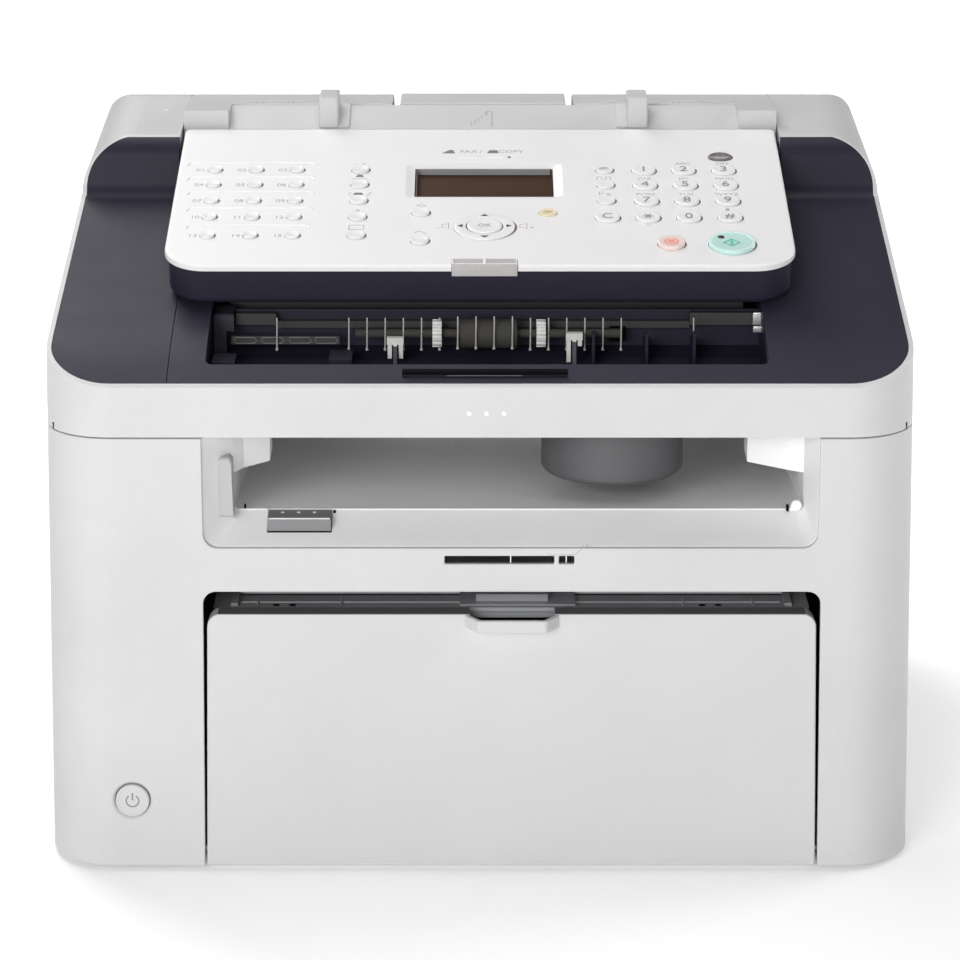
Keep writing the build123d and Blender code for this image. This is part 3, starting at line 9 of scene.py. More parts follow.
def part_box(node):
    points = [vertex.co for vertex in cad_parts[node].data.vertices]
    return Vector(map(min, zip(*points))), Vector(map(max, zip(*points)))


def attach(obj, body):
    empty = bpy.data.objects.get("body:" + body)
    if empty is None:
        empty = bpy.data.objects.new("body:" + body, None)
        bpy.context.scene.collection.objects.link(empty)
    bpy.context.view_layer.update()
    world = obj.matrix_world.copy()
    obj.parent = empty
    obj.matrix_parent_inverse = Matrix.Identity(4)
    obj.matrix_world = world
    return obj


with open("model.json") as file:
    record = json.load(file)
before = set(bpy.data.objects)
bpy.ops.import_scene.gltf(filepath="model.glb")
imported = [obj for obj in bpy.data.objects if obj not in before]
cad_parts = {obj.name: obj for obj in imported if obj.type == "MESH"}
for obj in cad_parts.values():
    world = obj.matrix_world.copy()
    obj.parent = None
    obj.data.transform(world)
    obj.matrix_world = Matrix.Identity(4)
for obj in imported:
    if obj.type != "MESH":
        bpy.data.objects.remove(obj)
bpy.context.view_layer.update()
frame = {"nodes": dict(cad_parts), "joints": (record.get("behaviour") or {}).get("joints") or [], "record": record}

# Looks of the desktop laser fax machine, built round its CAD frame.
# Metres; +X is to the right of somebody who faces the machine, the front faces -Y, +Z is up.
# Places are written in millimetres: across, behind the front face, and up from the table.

scene = bpy.context.scene

MM = 0.001
FRONT = -0.148
X_AXIS = Vector((1, 0, 0))
Y_AXIS = Vector((0, 1, 0))
Z_AXIS = Vector((0, 0, 1))
OUT_OF_FRONT = -Y_AXIS
LETTER_THICKNESS = 0.04


def at(across, behind, up):
    """The point at a place given in millimetres."""
    return Vector((across * MM, FRONT + behind * MM, up * MM))


# ---------------------------------------------------------------- the control panel's plane
press = next(joint for joint in frame["joints"] if joint["name"] == "start key press")
PANEL_UP = -Vector(press["axis"]).normalized()
PANEL_ALONG = PANEL_UP.cross(X_AXIS)
panel_points = [vertex.co for vertex in frame["nodes"]["panel_cover"].data.vertices]
PANEL_LEVEL = max(point.dot(PANEL_UP) for point in panel_points)
PANEL_EDGE = min(point.dot(PANEL_ALONG) for point in panel_points)
PANEL_FRONT = 57.0


def on_panel(across, behind, lift=0.0):
    """A place on the panel's face, a little above it by the lift."""
    run = PANEL_EDGE + (behind - PANEL_FRONT) * MM / PANEL_ALONG.y
    return X_AXIS * across * MM + PANEL_ALONG * run + PANEL_UP * (PANEL_LEVEL + lift * MM)


# ---------------------------------------------------------------- finishes
def add_node(tree, kind, **settings):
    """Adds a shader node; settings name its properties or its input sockets."""
    node = tree.nodes.new(kind)
    for name, value in settings.items():
        if hasattr(node, name):
            setattr(node, name, value)
        else:
            node.inputs[name.replace("_", " ")].default_value = value
    return node


def shade_of(colour, factor=1.0):
    """An opaque colour, made lighter or darker by a factor."""
    return tuple(min(1.0, channel * factor) for channel in colour[:3]) + (1.0,)


def moulded(
    name, colour, roughness=0.45, mottle=0.03, grain=0.12, grain_scale=1400.0, wear=0.12, **constants
):
    """A moulded finish: faint tone changes, a fine grain and slightly paler worn edges."""
    material = bpy.data.materials.new(name)
    material.use_nodes = True
    tree = material.node_tree
    shader = tree.nodes["Principled BSDF"]
    for socket, value in constants.items():
        shader.inputs[socket.replace("_", " ")].default_value = value
    place = add_node(tree, "ShaderNodeTexCoord")
    broad = add_node(tree, "ShaderNodeTexNoise", Scale=22.0, Detail=4.0, Roughness=0.6)
    tone = add_node(tree, "ShaderNodeValToRGB")
    tone.color_ramp.elements[0].position = 0.3
    tone.color_ramp.elements[0].color = shade_of(colour, 1.0 - mottle)
    tone.color_ramp.elements[1].position = 0.7
    tone.color_ramp.elements[1].color = shade_of(colour, 1.0 + mottle)
    tree.links.new(place.outputs["Object"], broad.inputs["Vector"])
    tree.links.new(broad.outputs["Fac"], tone.inputs["Fac"])
    edges = add_node(tree, "ShaderNodeNewGeometry")
    rub = add_node(tree, "ShaderNodeMapRange", From_Min=0.52, From_Max=0.62, To_Min=0.0, To_Max=wear)
    worn = add_node(tree, "ShaderNodeMix", data_type="RGBA")
    tree.links.new(edges.outputs["Pointiness"], rub.inputs["Value"])
    tree.links.new(rub.outputs["Result"], worn.inputs["Factor"])
    tree.links.new(tone.outputs["Color"], worn.inputs[6])
    worn.inputs[7].default_value = shade_of(tuple(0.6 * channel + 0.4 for channel in colour))
    tree.links.new(worn.outputs[2], shader.inputs["Base Color"])
    fine = add_node(tree, "ShaderNodeTexNoise", Scale=grain_scale, Detail=2.0, Roughness=0.5)
    tree.links.new(place.outputs["Object"], fine.inputs["Vector"])
    bump = add_node(tree, "ShaderNodeBump", Strength=grain, Distance=0.0001)
    tree.links.new(fine.outputs["Fac"], bump.inputs["Height"])
    tree.links.new(bump.outputs["Normal"], shader.inputs["Normal"])
    gloss = add_node(
        tree, "ShaderNodeMapRange", To_Min=max(0.02, roughness - 0.05), To_Max=min(1.0, roughness + 0.05)
    )
    smear = add_node(tree, "ShaderNodeTexNoise", Scale=70.0, Detail=3.0, Roughness=0.55)
    tree.links.new(place.outputs["Object"], smear.inputs["Vector"])
    tree.links.new(smear.outputs["Fac"], gloss.inputs["Value"])
    tree.links.new(gloss.outputs["Result"], shader.inputs["Roughness"])
    return material


SHELL_WHITE = (0.585, 0.577, 0.585)
PALE_PLASTIC = (0.72, 0.72, 0.70)
finishes = {
    "shell": moulded("shell", SHELL_WHITE),
    "deck": moulded(
        "deck", (0.0205, 0.0185, 0.034), 0.5, mottle=0.06, grain=0.18, wear=0.05, Specular_IOR_Level=0.17
    ),
    "panel_white": moulded("panel_white", (0.83, 0.817, 0.82), 0.38, mottle=0.012, grain=0.05),
    "key_white": moulded("key_white", (0.82, 0.81, 0.815), 0.35, mottle=0.01, grain=0.04),
    "start_green": moulded("start_green", (0.54, 0.77, 0.72), 0.3, mottle=0.03, grain=0.04),
    "stop_red": moulded("stop_red", (0.84, 0.67, 0.64), 0.3, mottle=0.03, grain=0.04),
    "menu_yellow": moulded("menu_yellow", (0.80, 0.71, 0.50), 0.35, mottle=0.03, grain=0.04),
    "key_grey": moulded("key_grey", (0.15, 0.145, 0.145), 0.35, mottle=0.05, grain=0.05),
    "display": moulded(
        "display", (0.048, 0.021, 0.008), 0.4, mottle=0.1, grain=0.0, wear=0.0, Specular_IOR_Level=0.15
    ),
    "lens": moulded(
        "lens", (0.60, 0.57, 0.565), 0.3, mottle=0.06, grain=0.1, wear=0.5, Transmission_Weight=0.25, IOR=1.46
    ),
    "liner": moulded("liner", (0.86, 0.855, 0.86), 0.5),
    "tab_grey": moulded("tab_grey", (0.19, 0.19, 0.197), 0.45),
    "bay_grey": moulded("bay_grey", (0.084, 0.083, 0.088), 0.5, mottle=0.05),
    "dark_plastic": moulded("dark_plastic", (0.012, 0.012, 0.015), 0.5, mottle=0.15, grain=0.2, wear=0.03),
    "tray_grey": moulded("tray_grey", (0.33, 0.335, 0.35), 0.4, mottle=0.06, grain=0.15, wear=0.1),
    "steel": moulded("steel", (0.42, 0.42, 0.43), 0.35, mottle=0.06, grain=0.1, wear=0.1, Metallic=0.9),
    "rubber": moulded(
        "rubber", (0.045, 0.043, 0.040), 0.8, mottle=0.15, grain=0.5, grain_scale=900.0, wear=0.08
    ),
    "white_plastic": moulded("white_plastic", PALE_PLASTIC, 0.4),
    "board": moulded("board", (0.03, 0.14, 0.06), 0.35, mottle=0.2, grain=0.3, grain_scale=400.0),
}
# finishes of the added pieces: print, marks, icons, painted shadows and shade in gaps and holes, and painted
# highlights
# grey for print, and also a painted highlight along the finger slit's edge
print_and_highlight_grey = moulded("print_and_highlight_grey", (0.16, 0.16, 0.17), 0.6, mottle=0.1, grain=0.0, wear=0.0)
print_pale = moulded("print_pale", (0.36, 0.36, 0.37), 0.6, mottle=0.06, grain=0.0, wear=0.0)
print_soft = moulded("print_soft", (0.24, 0.24, 0.25), 0.6, mottle=0.08, grain=0.0, wear=0.0)
print_dark = moulded("print_dark", (0.035, 0.035, 0.04), 0.6, mottle=0.15, grain=0.0, wear=0.0)
# white for print and raised dots, and also painted highlights on the bay's lip and the indicator lens
mark_white = moulded("mark_white", (0.85, 0.85, 0.85), 0.5, mottle=0.02, grain=0.0, wear=0.0)
# painted shadow: the brown of the dark crescents beside the keys
painted_shadow_brown = moulded("painted_shadow_brown", (0.17, 0.125, 0.115), 0.8, mottle=0.12, grain=0.1, wear=0.0)
icon_red = moulded("icon_red", (0.84, 0.33, 0.26), 0.4, mottle=0.06, grain=0.0, wear=0.0)
icon_teal = moulded("icon_teal", (0.16, 0.58, 0.44), 0.4, mottle=0.06, grain=0.0, wear=0.0)
icon_ochre = moulded("icon_ochre", (0.55, 0.44, 0.24), 0.5, mottle=0.08, grain=0.0, wear=0.0)
# dark brown of the start key's lamp, and also painted shade in the microphone hole
lamp_and_hole_shade_brown = moulded("lamp_and_hole_shade_brown", (0.07, 0.05, 0.04), 0.25, mottle=0.15, grain=0.0, wear=0.0)
# painted shade: black for the insides of holes, slots and recesses
painted_shade_black = moulded(
    "painted_shade_black", (0.003, 0.003, 0.004), 0.8, mottle=0.2, grain=0.1, wear=0.0, Specular_IOR_Level=0.05
)

# each CAD node gets its slot's finish and softened edges
slot_of = {part["node"]: part["material_slot"] for part in frame["record"]["subparts"]}
SOFT_EDGE = {"shell": 0.6, "deck": 0.5, "panel_white": 0.3, "liner": 0.6, "tray_grey": 0.4}
LARGE_FACES = ("main_cover", "rear_cover", "panel_cover")
SMALL_EDGE = 0.2
for node_name, node in frame["nodes"].items():
    for holder in node.material_slots:
        holder.material = finishes[slot_of[node_name]]
    weld = node.modifiers.new("weld", "WELD")
    weld.merge_threshold = 0.000001
    if node_name in LARGE_FACES:
        merge = node.modifiers.new("merge", "DECIMATE")
        merge.decimate_type = "DISSOLVE"
        merge.angle_limit = radians(0.5)
    bevel = node.modifiers.new("bevel", "BEVEL")
    bevel.width = SOFT_EDGE.get(slot_of[node_name], SMALL_EDGE) * MM
    bevel.segments = 2
    bevel.limit_method = "ANGLE"
    bevel.angle_limit = radians(32)
    flatten = node.modifiers.new("flatten", "WEIGHTED_NORMAL")
    flatten.keep_sharp = True


def repaint(material, colour, above=None, below=None, middle=None, reach=1.1):
    """Changes a finish's colour over, under or beside a level given in millimetres."""
    tree = material.node_tree
    shader = tree.nodes["Principled BSDF"]
    painted = shader.inputs["Base Color"].links[0].from_socket
    place = add_node(tree, "ShaderNodeTexCoord")
    parts = add_node(tree, "ShaderNodeSeparateXYZ")
    tree.links.new(place.outputs["Object"], parts.inputs["Vector"])
    kind = "GREATER_THAN" if below is None else "LESS_THAN"
    level = add_node(tree, "ShaderNodeMath", operation=kind)
    level.inputs[1].default_value = (above if below is None else below) * MM
    tree.links.new(parts.outputs["Z"], level.inputs[0])
    chosen = level.outputs["Value"]
    if middle is not None:
        beside = add_node(tree, "ShaderNodeMath", operation="COMPARE")
        beside.inputs[1].default_value = middle * MM
        beside.inputs[2].default_value = reach * MM
        both = add_node(tree, "ShaderNodeMath", operation="MULTIPLY")
        tree.links.new(parts.outputs["X"], beside.inputs[0])
        tree.links.new(beside.outputs["Value"], both.inputs[0])
        tree.links.new(chosen, both.inputs[1])
        chosen = both.outputs["Value"]
    mixed = add_node(tree, "ShaderNodeMix", data_type="RGBA")
    mixed.inputs[7].default_value = shade_of(colour)
    tree.links.new(chosen, mixed.inputs["Factor"])
    tree.links.new(painted, mixed.inputs[6])
    tree.links.new(mixed.outputs[2], shader.inputs["Base Color"])
    return material


# the sensor levers: white caps and prongs on dark stems
for side, middle, neck in (("left", -36.6, 222.4), ("right", 40.7, 224.4)):
    lever_white = moulded(side + "_lever_white", PALE_PLASTIC, 0.4)
    for holder in frame["nodes"][side + "_sensor_lever"].material_slots:
        holder.material = repaint(lever_white, (0.045, 0.043, 0.058), below=neck, middle=middle)
# the reader's floor: white over its grey boss
repaint(finishes["bay_grey"], (0.80, 0.80, 0.80), above=197.0)
# the front door: a white face, and its top above 117.4 mm painted dark grey, as painted shade where the top lies
# inside the dark paper opening
door_white = moulded("door_white", SHELL_WHITE, mottle=0.015)
for holder in frame["nodes"]["front_cover"].material_slots:
    holder.material = repaint(door_white, (0.15, 0.15, 0.16), above=117.4)


# ---------------------------------------------------------------- forms
def piece(name, form, material, body):
    """Turns a built form into an object that moves with a CAD body."""
    bmesh.ops.remove_doubles(form, verts=form.verts, dist=1e-7)
    bmesh.ops.recalc_face_normals(form, faces=form.faces)
    mesh = bpy.data.meshes.new(name)
    form.to_mesh(mesh)
    form.free()
    mesh.shade_smooth()
    mesh.set_sharp_from_angle(angle=radians(38))
    mesh.materials.append(material)
    made = bpy.data.objects.new(name, mesh)
    scene.collection.objects.link(made)
    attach(made, body)


def lathe(form, centre, normal, profile, size=(1.0, 1.0), sides=28):
    """Turns (radius, height) pairs, in millimetres, about a normal; size stretches it."""
    normal = normal.normalized()
    across = (X_AXIS - normal * X_AXIS.dot(normal)).normalized()
    along = normal.cross(across)
    rings = []
    for radius, height in profile:
        middle = centre + normal * height * MM
        if radius == 0:
            rings.append([form.verts.new(middle)])
            continue
        ring = []
        for step in range(sides):
            turn = 2 * pi * step / sides
            offset = across * cos(turn) * size[0] + along * sin(turn) * size[1]
            ring.append(form.verts.new(middle + offset * radius * MM))
        rings.append(ring)
    for low, high in zip(rings, rings[1:]):
        for step in range(max(len(low), len(high))):
            after = (step + 1) % max(len(low), len(high))
            corners = [
                low[step % len(low)], low[after % len(low)], high[after % len(high)], high[step % len(high)]
            ]
            if len(low) == 1:
                corners = corners[1:]
            if len(high) == 1:
                corners = corners[:3]
            form.faces.new(corners)


def stroke(form, points, width, height, up):
    """A low ridge with a rounded top along a line of points, in millimetres across."""
    half = width * MM / 2
    sections = []
    for index, point in enumerate(points):
        before = points[max(index - 1, 0)]
        after = points[min(index + 1, len(points) - 1)]
        side = (after - before).cross(up).normalized()
        section = []
        for reach, rise in ((-1, 0), (-0.85, 0.7), (-0.4, 1), (0.4, 1), (0.85, 0.7), (1, 0)):
            section.append(form.verts.new(point + side * half * reach + up * height * MM * rise))
        sections.append(section)
    for low, high in zip(sections, sections[1:]):
        for index in range(len(low)):
            after = (index + 1) % len(low)
            form.faces.new((low[index], low[after], high[after], high[index]))
    form.faces.new(sections[0])
    form.faces.new(sections[-1][::-1])


def tube(form, points, radius, sides=12):
    """A round wire or pin along a line of points with domed ends."""
    start, end = points[0], points[-1]
    first = (points[1] - start).normalized()
    last = (end - points[-2]).normalized()
    line = [start - first * radius * MM * 0.5] + list(points) + [end + last * radius * MM * 0.5]
    rings = []
    guide = X_AXIS if abs(first.x) < 0.8 else Y_AXIS
    for index, point in enumerate(line):
        before = line[max(index - 1, 0)]
        after = line[min(index + 1, len(line) - 1)]
        ahead = (after - before).normalized()
        side = (guide - ahead * guide.dot(ahead)).normalized()
        other = ahead.cross(side)
        size = radius * MM * (0.55 if index in (0, len(line) - 1) else 1.0)
        ring = []
        for step in range(sides):
            turn = 2 * pi * step / sides
            ring.append(form.verts.new(point + (side * cos(turn) + other * sin(turn)) * size))
        rings.append(ring)
    for low, high in zip(rings, rings[1:]):
        for step in range(sides):
            after = (step + 1) % sides
            form.faces.new((low[step], low[after], high[after], high[step]))
    form.faces.new(rings[0][::-1])
    form.faces.new(rings[-1])


def slab(form, outline, lift, chamfer=0.0):
    """A plate: an outline of points raised by a vector, with its top edge chamfered."""
    middle = sum(outline, Vector()) / len(outline)
    rise = lift.normalized()
    low = [form.verts.new(point) for point in outline]
    waist = [form.verts.new(point + lift - rise * chamfer * MM) for point in outline]
    high = []
    for point in outline:
        inward = (middle - point).normalized() * chamfer * MM
        high.append(form.verts.new(point + lift + inward))
    for lower, upper in ((low, waist), (waist, high)):
        for index in range(len(outline)):
            after = (index + 1) % len(outline)
            form.faces.new((lower[index], lower[after], upper[after], upper[index]))
    form.faces.new(high)
    form.faces.new(low[::-1])


def block(form, low, high, chamfer=0.4):
    """A box with softened top edges between two places."""
    (x0, s0, z0), (x1, s1, z1) = low, high
    outline = [at(x0, s0, z0), at(x1, s0, z0), at(x1, s1, z0), at(x0, s1, z0)]
    slab(form, outline, Z_AXIS * (z1 - z0) * MM, chamfer)


def lettering(form, text, origin, across, along, height):
    """Solid letters that lie on a surface, as raised print."""
    curve = bpy.data.curves.new("letters", "FONT")
    curve.body = text
    curve.size = height * MM
    curve.align_x = "CENTER"
    curve.align_y = "CENTER"
    curve.extrude = LETTER_THICKNESS * MM / 2
    curve.resolution_u = 3
    holder = bpy.data.objects.new("letters", curve)
    scene.collection.objects.link(holder)
    graph = bpy.context.evaluated_depsgraph_get()
    mesh = bpy.data.meshes.new_from_object(holder.evaluated_get(graph))
    bpy.data.objects.remove(holder)
    bpy.data.curves.remove(curve)
    rise = across.cross(along).normalized()
    turn = Matrix((across.normalized(), along.normalized(), rise)).transposed().to_4x4()
    mesh.transform(Matrix.Translation(origin + rise * LETTER_THICKNESS * MM / 2) @ turn)
    form.from_mesh(mesh)
    bpy.data.meshes.remove(mesh)


def panel_line(form, places, width, height=0.05):
    """A printed or raised line along places on the panel's face."""
    stroke(form, [on_panel(across, behind) for across, behind in places], width, height, PANEL_UP)


def panel_letters(form, text, origin, height):
    """Letters that lie along the panel's face."""
    lettering(form, text, origin, X_AXIS, PANEL_ALONG, height)


def arc(centre, radius, start, end, steps=12):
    """Places along an arc in a plane, with angles in degrees."""
    turns = [radians(start + (end - start) * step / steps) for step in range(steps + 1)]
    return [(centre[0] + radius * cos(turn), centre[1] + radius * sin(turn)) for turn in turns]


# ---------------------------------------------------------------- keys
CAP_BAND = 0.7
KEY_CLEARANCE = 0.12
# how far from a cap the painted key shadows start, and how high they rise
PAINTED_SHADOW_START, PAINTED_SHADOW_RISE = 0.05, 0.04
ROUND_KEYS = ("stop_key", "start_key")
RING_RADIUS = 13.5
MARK_LIFT = 0.13
DIGIT_HEIGHT, MARK_HEIGHT, OK_HEIGHT = 7.6, 7.4, 4.2
DISH = [(1.0, -0.25), (0.985, 0.08), (0.93, 0.26), (0.86, 0.26), (0.72, 0.14), (0.45, 0.05), (0.0, 0.02)]


def caps(node_name, reach):
    """Middle, half width and half length, in metres, of every cap on a key's node."""
    spots = [vertex.co for vertex in frame["nodes"][node_name].data.vertices]
    top = max(spot.dot(PANEL_UP) for spot in spots)
    groups = []
    for spot in spots:
        if spot.dot(PANEL_UP) < top - CAP_BAND * MM:
            continue
        place = Vector((spot.x, spot.dot(PANEL_ALONG)))
        near = [group for group in groups if (group[0] - place).length < reach * MM]
        if near:
            near[0].append(place)
        else:
            groups.append([place])
    found = []
    for group in groups:
        low = Vector((min(place.x for place in group), min(place.y for place in group)))
        high = Vector((max(place.x for place in group), max(place.y for place in group)))
        middle = (low + high) / 2
        point = X_AXIS * middle.x + PANEL_ALONG * middle.y + PANEL_UP * top
        found.append((point, (high.x - low.x) / 2, (high.y - low.y) / 2))
    return found


def on_face(point):
    """The place on the panel's face under a point."""
    return point - PANEL_UP * (point.dot(PANEL_UP) - PANEL_LEVEL)


def key_point(node_name, across=0.0, along=0.0, lift=0.0):
    """A place over a key's cap, in millimetres from the middle of its top."""
    return centres[node_name][0][0] + (X_AXIS * across + PANEL_ALONG * along + PANEL_UP * lift) * MM


def key_gap(form, middle, size, corner, clearance, half_turn, steps, widest):
    """A painted shadow: a thin dark crescent on the panel beside a key's right flank, where its shadow falls,
    widest in its middle.
    """
    half_width, half_length = size
    reach = corner + clearance * MM
    inner, outer = [], []
    for step in range(-steps, steps + 1):
        turn = radians(half_turn * step / steps)
        side = max(-1, min(1, step)) * (half_length - corner)
        across = half_width - corner + reach * cos(turn)
        rim = on_face(middle) + X_AXIS * across + PANEL_ALONG * (side + reach * sin(turn))
        inner.append(rim)
        outer.append(rim + X_AXIS * (PAINTED_SHADOW_START + widest * (1.0 - abs(step) / steps)) * MM)
    slab(form, inner + outer[::-1], PANEL_UP * PAINTED_SHADOW_RISE * MM)


# every cap has a dished top, and all but the flat menu key a painted shadow beside it
single = [name for name in frame["nodes"] if name.endswith("_key") or name.startswith("number_key")]
mats = ["one_touch_keys", "function_keys", "mode_keys", "display_keys"]
key_reach = {name: 40.0 for name in single} | {name: 10.0 for name in mats}
key_gaps = bmesh.new()
centres = {}
for name, reach in key_reach.items():
    dishes = bmesh.new()
    centres[name] = caps(name, reach)
    for middle, half_width, half_length in centres[name]:
        lathe(dishes, middle, PANEL_UP, DISH, size=(half_width / MM, half_length / MM), sides=40)
        roundness = 0.99 if name in ROUND_KEYS else 0.91
        corner = roundness * min(half_width, half_length)
        if name != "menu_key":
            key_gap(key_gaps, middle, (half_width, half_length), corner, KEY_CLEARANCE, 62, 7, 0.65)
    piece("dish_" + name, dishes, finishes[slot_of[name]], name.replace("_", " "))

# the navigation ring: its crown and its painted shadow
ring_middle = centres["ok_key"][0][0]
ring_top = max(vertex.co.dot(PANEL_UP) for vertex in frame["nodes"]["navigation_ring"].data.vertices)
ring_place = ring_middle + PANEL_UP * (ring_top - ring_middle.dot(PANEL_UP))
form = bmesh.new()
crown = [(13.3, -0.2), (13.1, 0.12), (12.5, 0.22), (10.9, 0.10), (9.3, 0.2), (8.7, 0.1), (8.6, -0.2)]
lathe(form, ring_place, PANEL_UP, crown, sides=64)
piece("ring_crown", form, finishes["key_white"], "navigation ring")
ring_size = (RING_RADIUS * MM, RING_RADIUS * MM)
key_gap(key_gaps, ring_place, ring_size, RING_RADIUS * MM, 0.0, 75, 15, 0.9)
piece("key_gaps", key_gaps, painted_shadow_brown, "panel")

# digits and marks on the caps
for digit in "0123456789":
    form = bmesh.new()
    panel_letters(form, digit, key_point("number_key_" + digit, lift=MARK_LIFT), DIGIT_HEIGHT)
    piece("digit_" + digit, form, print_soft, "number key " + digit)
form = bmesh.new()
for turn in (0, 60, 120):
    across, along = 2.4 * cos(radians(turn)), 2.4 * sin(radians(turn))
    ray = [key_point("number_key_star", across * end, along * end, MARK_LIFT) for end in (-1, 0, 1)]
    stroke(form, ray, 0.6, 0.05, PANEL_UP)
piece("mark_number_key_star", form, print_soft, "number key star")
for name, mark in (("number_key_hash", "#"), ("clear_key", "C")):
    form = bmesh.new()
    panel_letters(form, mark, key_point(name, lift=MARK_LIFT), MARK_HEIGHT)
    piece("mark_" + name, form, print_soft, name.replace("_", " "))
form = bmesh.new()
panel_letters(form, "OK", key_point("ok_key", lift=0.12), OK_HEIGHT)
piece("mark_ok_key", form, print_pale, "ok key")

# the four arrows of the navigation ring
form = bmesh.new()
for across, along in ((0, 1), (0, -1), (1, 0), (-1, 0)):
    point = X_AXIS * across + PANEL_ALONG * along
    side = PANEL_UP.cross(point)
    tip = ring_place + PANEL_UP * 0.1 * MM + point * 12.0 * MM
    wing = 1.9 if along else 1.5
    back = 2.0 if along else 2.4
    outline = [tip, tip - point * back * MM + side * wing * MM, tip - point * back * MM - side * wing * MM]
    slab(form, outline, PANEL_UP * 0.12 * MM)
piece("ring_arrows", form, print_dark, "navigation ring")

# the stop key: a red disc with a pale ring and bar on it
form = bmesh.new()
lathe(form, key_point("stop_key", lift=0.12), PANEL_UP, [(3.3, 0), (3.2, 0.08), (0.0, 0.08)])
piece("stop_disc", form, icon_red, "stop key")
form = bmesh.new()
stop_ring = [(2.3, 0), (2.25, 0.08), (1.75, 0.08), (1.7, 0)]
lathe(form, key_point("stop_key", lift=0.21), PANEL_UP, stop_ring)
stroke(form, [key_point("stop_key", 0, along, 0.21) for along in (1.0, 2.0, 3.2)], 0.6, 0.08, PANEL_UP)
piece("stop_sign", form, finishes["stop_red"], "stop key")

# the start key: a diamond with a bar, a dark lamp, and a raised rim with a dot
form = bmesh.new()
corners = [(3.2, -1.0), (-0.3, 2.4), (-3.8, -1.0), (-0.3, -4.4)]
for (x0, a0), (x1, a1) in zip(corners, corners[1:] + corners[:1]):
    line = [(x0, a0), ((x0 + x1) / 2, (a0 + a1) / 2), (x1, a1)]
    stroke(form, [key_point("start_key", x, a, 0.2) for x, a in line], 0.65, 0.08, PANEL_UP)
stroke(form, [key_point("start_key", -0.3, a, 0.2) for a in (-2.9, -1.0, 0.9)], 1.3, 0.1, PANEL_UP)
piece("start_sign", form, icon_teal, "start key")
form = bmesh.new()
lamp = [(1.5, 0), (1.45, 0.2), (0.9, 0.35), (0, 0.4)]
lathe(form, key_point("start_key", -4.6, 4.4, 0.1), PANEL_UP, lamp)
piece("start_lamp", form, lamp_and_hole_shade_brown, "start key")
form = bmesh.new()
lathe(form, key_point("start_key"), PANEL_UP, [(9.9, 0.15), (9.8, 0.34), (9.0, 0.36), (8.6, 0.2)], sides=56)
lathe(form, key_point("start_key", 0.2, 7.4), PANEL_UP, [(0.8, 0.1), (0.7, 0.3), (0, 0.35)])
start_pale = moulded("start_rim", (0.66, 0.88, 0.83), 0.3, mottle=0.02, grain=0.0)
piece("start_rim", form, start_pale, "start key")

# the menu and energy saver keys: small signs, and a paler lower lip on the grey cap
form = bmesh.new()
for line in (((-2, 0.6), (-0.4, 1.4), (1.6, 0.2)), ((-1.4, -0.9), (0.4, 0.0), (2.0, 1.4))):
    stroke(form, [key_point("menu_key", x, a, 0.1) for x, a in line], 1.0, 0.08, PANEL_UP)
piece("menu_sign", form, icon_ochre, "menu key")
form = bmesh.new()
lower_lip = [(4.9 * cos(radians(turn)), 3.3 * sin(radians(turn))) for turn in range(195, 346, 15)]
slab(form, [key_point("energy_saver_key", x, a, -0.1) for x, a in lower_lip], PANEL_UP * 0.33 * MM)
saver_pale = moulded("saver_rim", (0.40, 0.36, 0.36), 0.4)
piece("saver_rim", form, saver_pale, "energy saver key")
form = bmesh.new()
hook = arc((0, 0.4), 1.5, 120, 420)
stroke(form, [key_point("energy_saver_key", x, a, 0.2) for x, a in hook], 0.4, 0.08, PANEL_UP)
piece("saver_sign", form, print_pale, "energy saver key")

# ---------------------------------------------------------------- printing on the panel
BESIDE_KEY, ABOVE_KEY = 6.4, 7.9
NUMBER_HEIGHT, LETTER_HEIGHT = 4.2, 3.6
SPEAKER = [(0, 94.2), (0, 97.0), (1.4, 97.0), (3.0, 98.6), (3.0, 92.6), (1.4, 94.2), (0, 94.2)]


def reading_order(cap):
    """Sorts caps by row, from the back, and from left to right in a row."""
    return -round(cap[0].y / 0.006), cap[0].x


small_print = bmesh.new()
for number, cap in enumerate(sorted(centres["one_touch_keys"], key=reading_order), start=1):
    panel_letters(small_print, f"{number:02d}", on_face(cap[0]) - X_AXIS * BESIDE_KEY * MM, NUMBER_HEIGHT)
for digit, group in zip("23456789", ("ABC", "DEF", "GHI", "JKL", "MNO", "PQRS", "TUV", "WXYZ")):
    origin = on_face(key_point("number_key_" + digit)) + PANEL_ALONG * ABOVE_KEY * MM
    panel_letters(small_print, group, origin, LETTER_HEIGHT)
for text, across, behind, height in (
    ("FAX", -5.2, 173.4, 4.4),
    ("/", 0.4, 173.4, 4.4),
    ("COPY", 14.2, 173.4, 4.4),
    ("R", 57.6, 127.2, 4.2),
    ("- +", -54.3, 159.6, 4.4),
    ("R", -54.2, 110.6, 4.0),
    ("-", -18.6, 93.6, 4.4),
    ("+", 22.8, 93.6, 4.4),
):
    panel_letters(small_print, text, on_panel(across, behind), height)
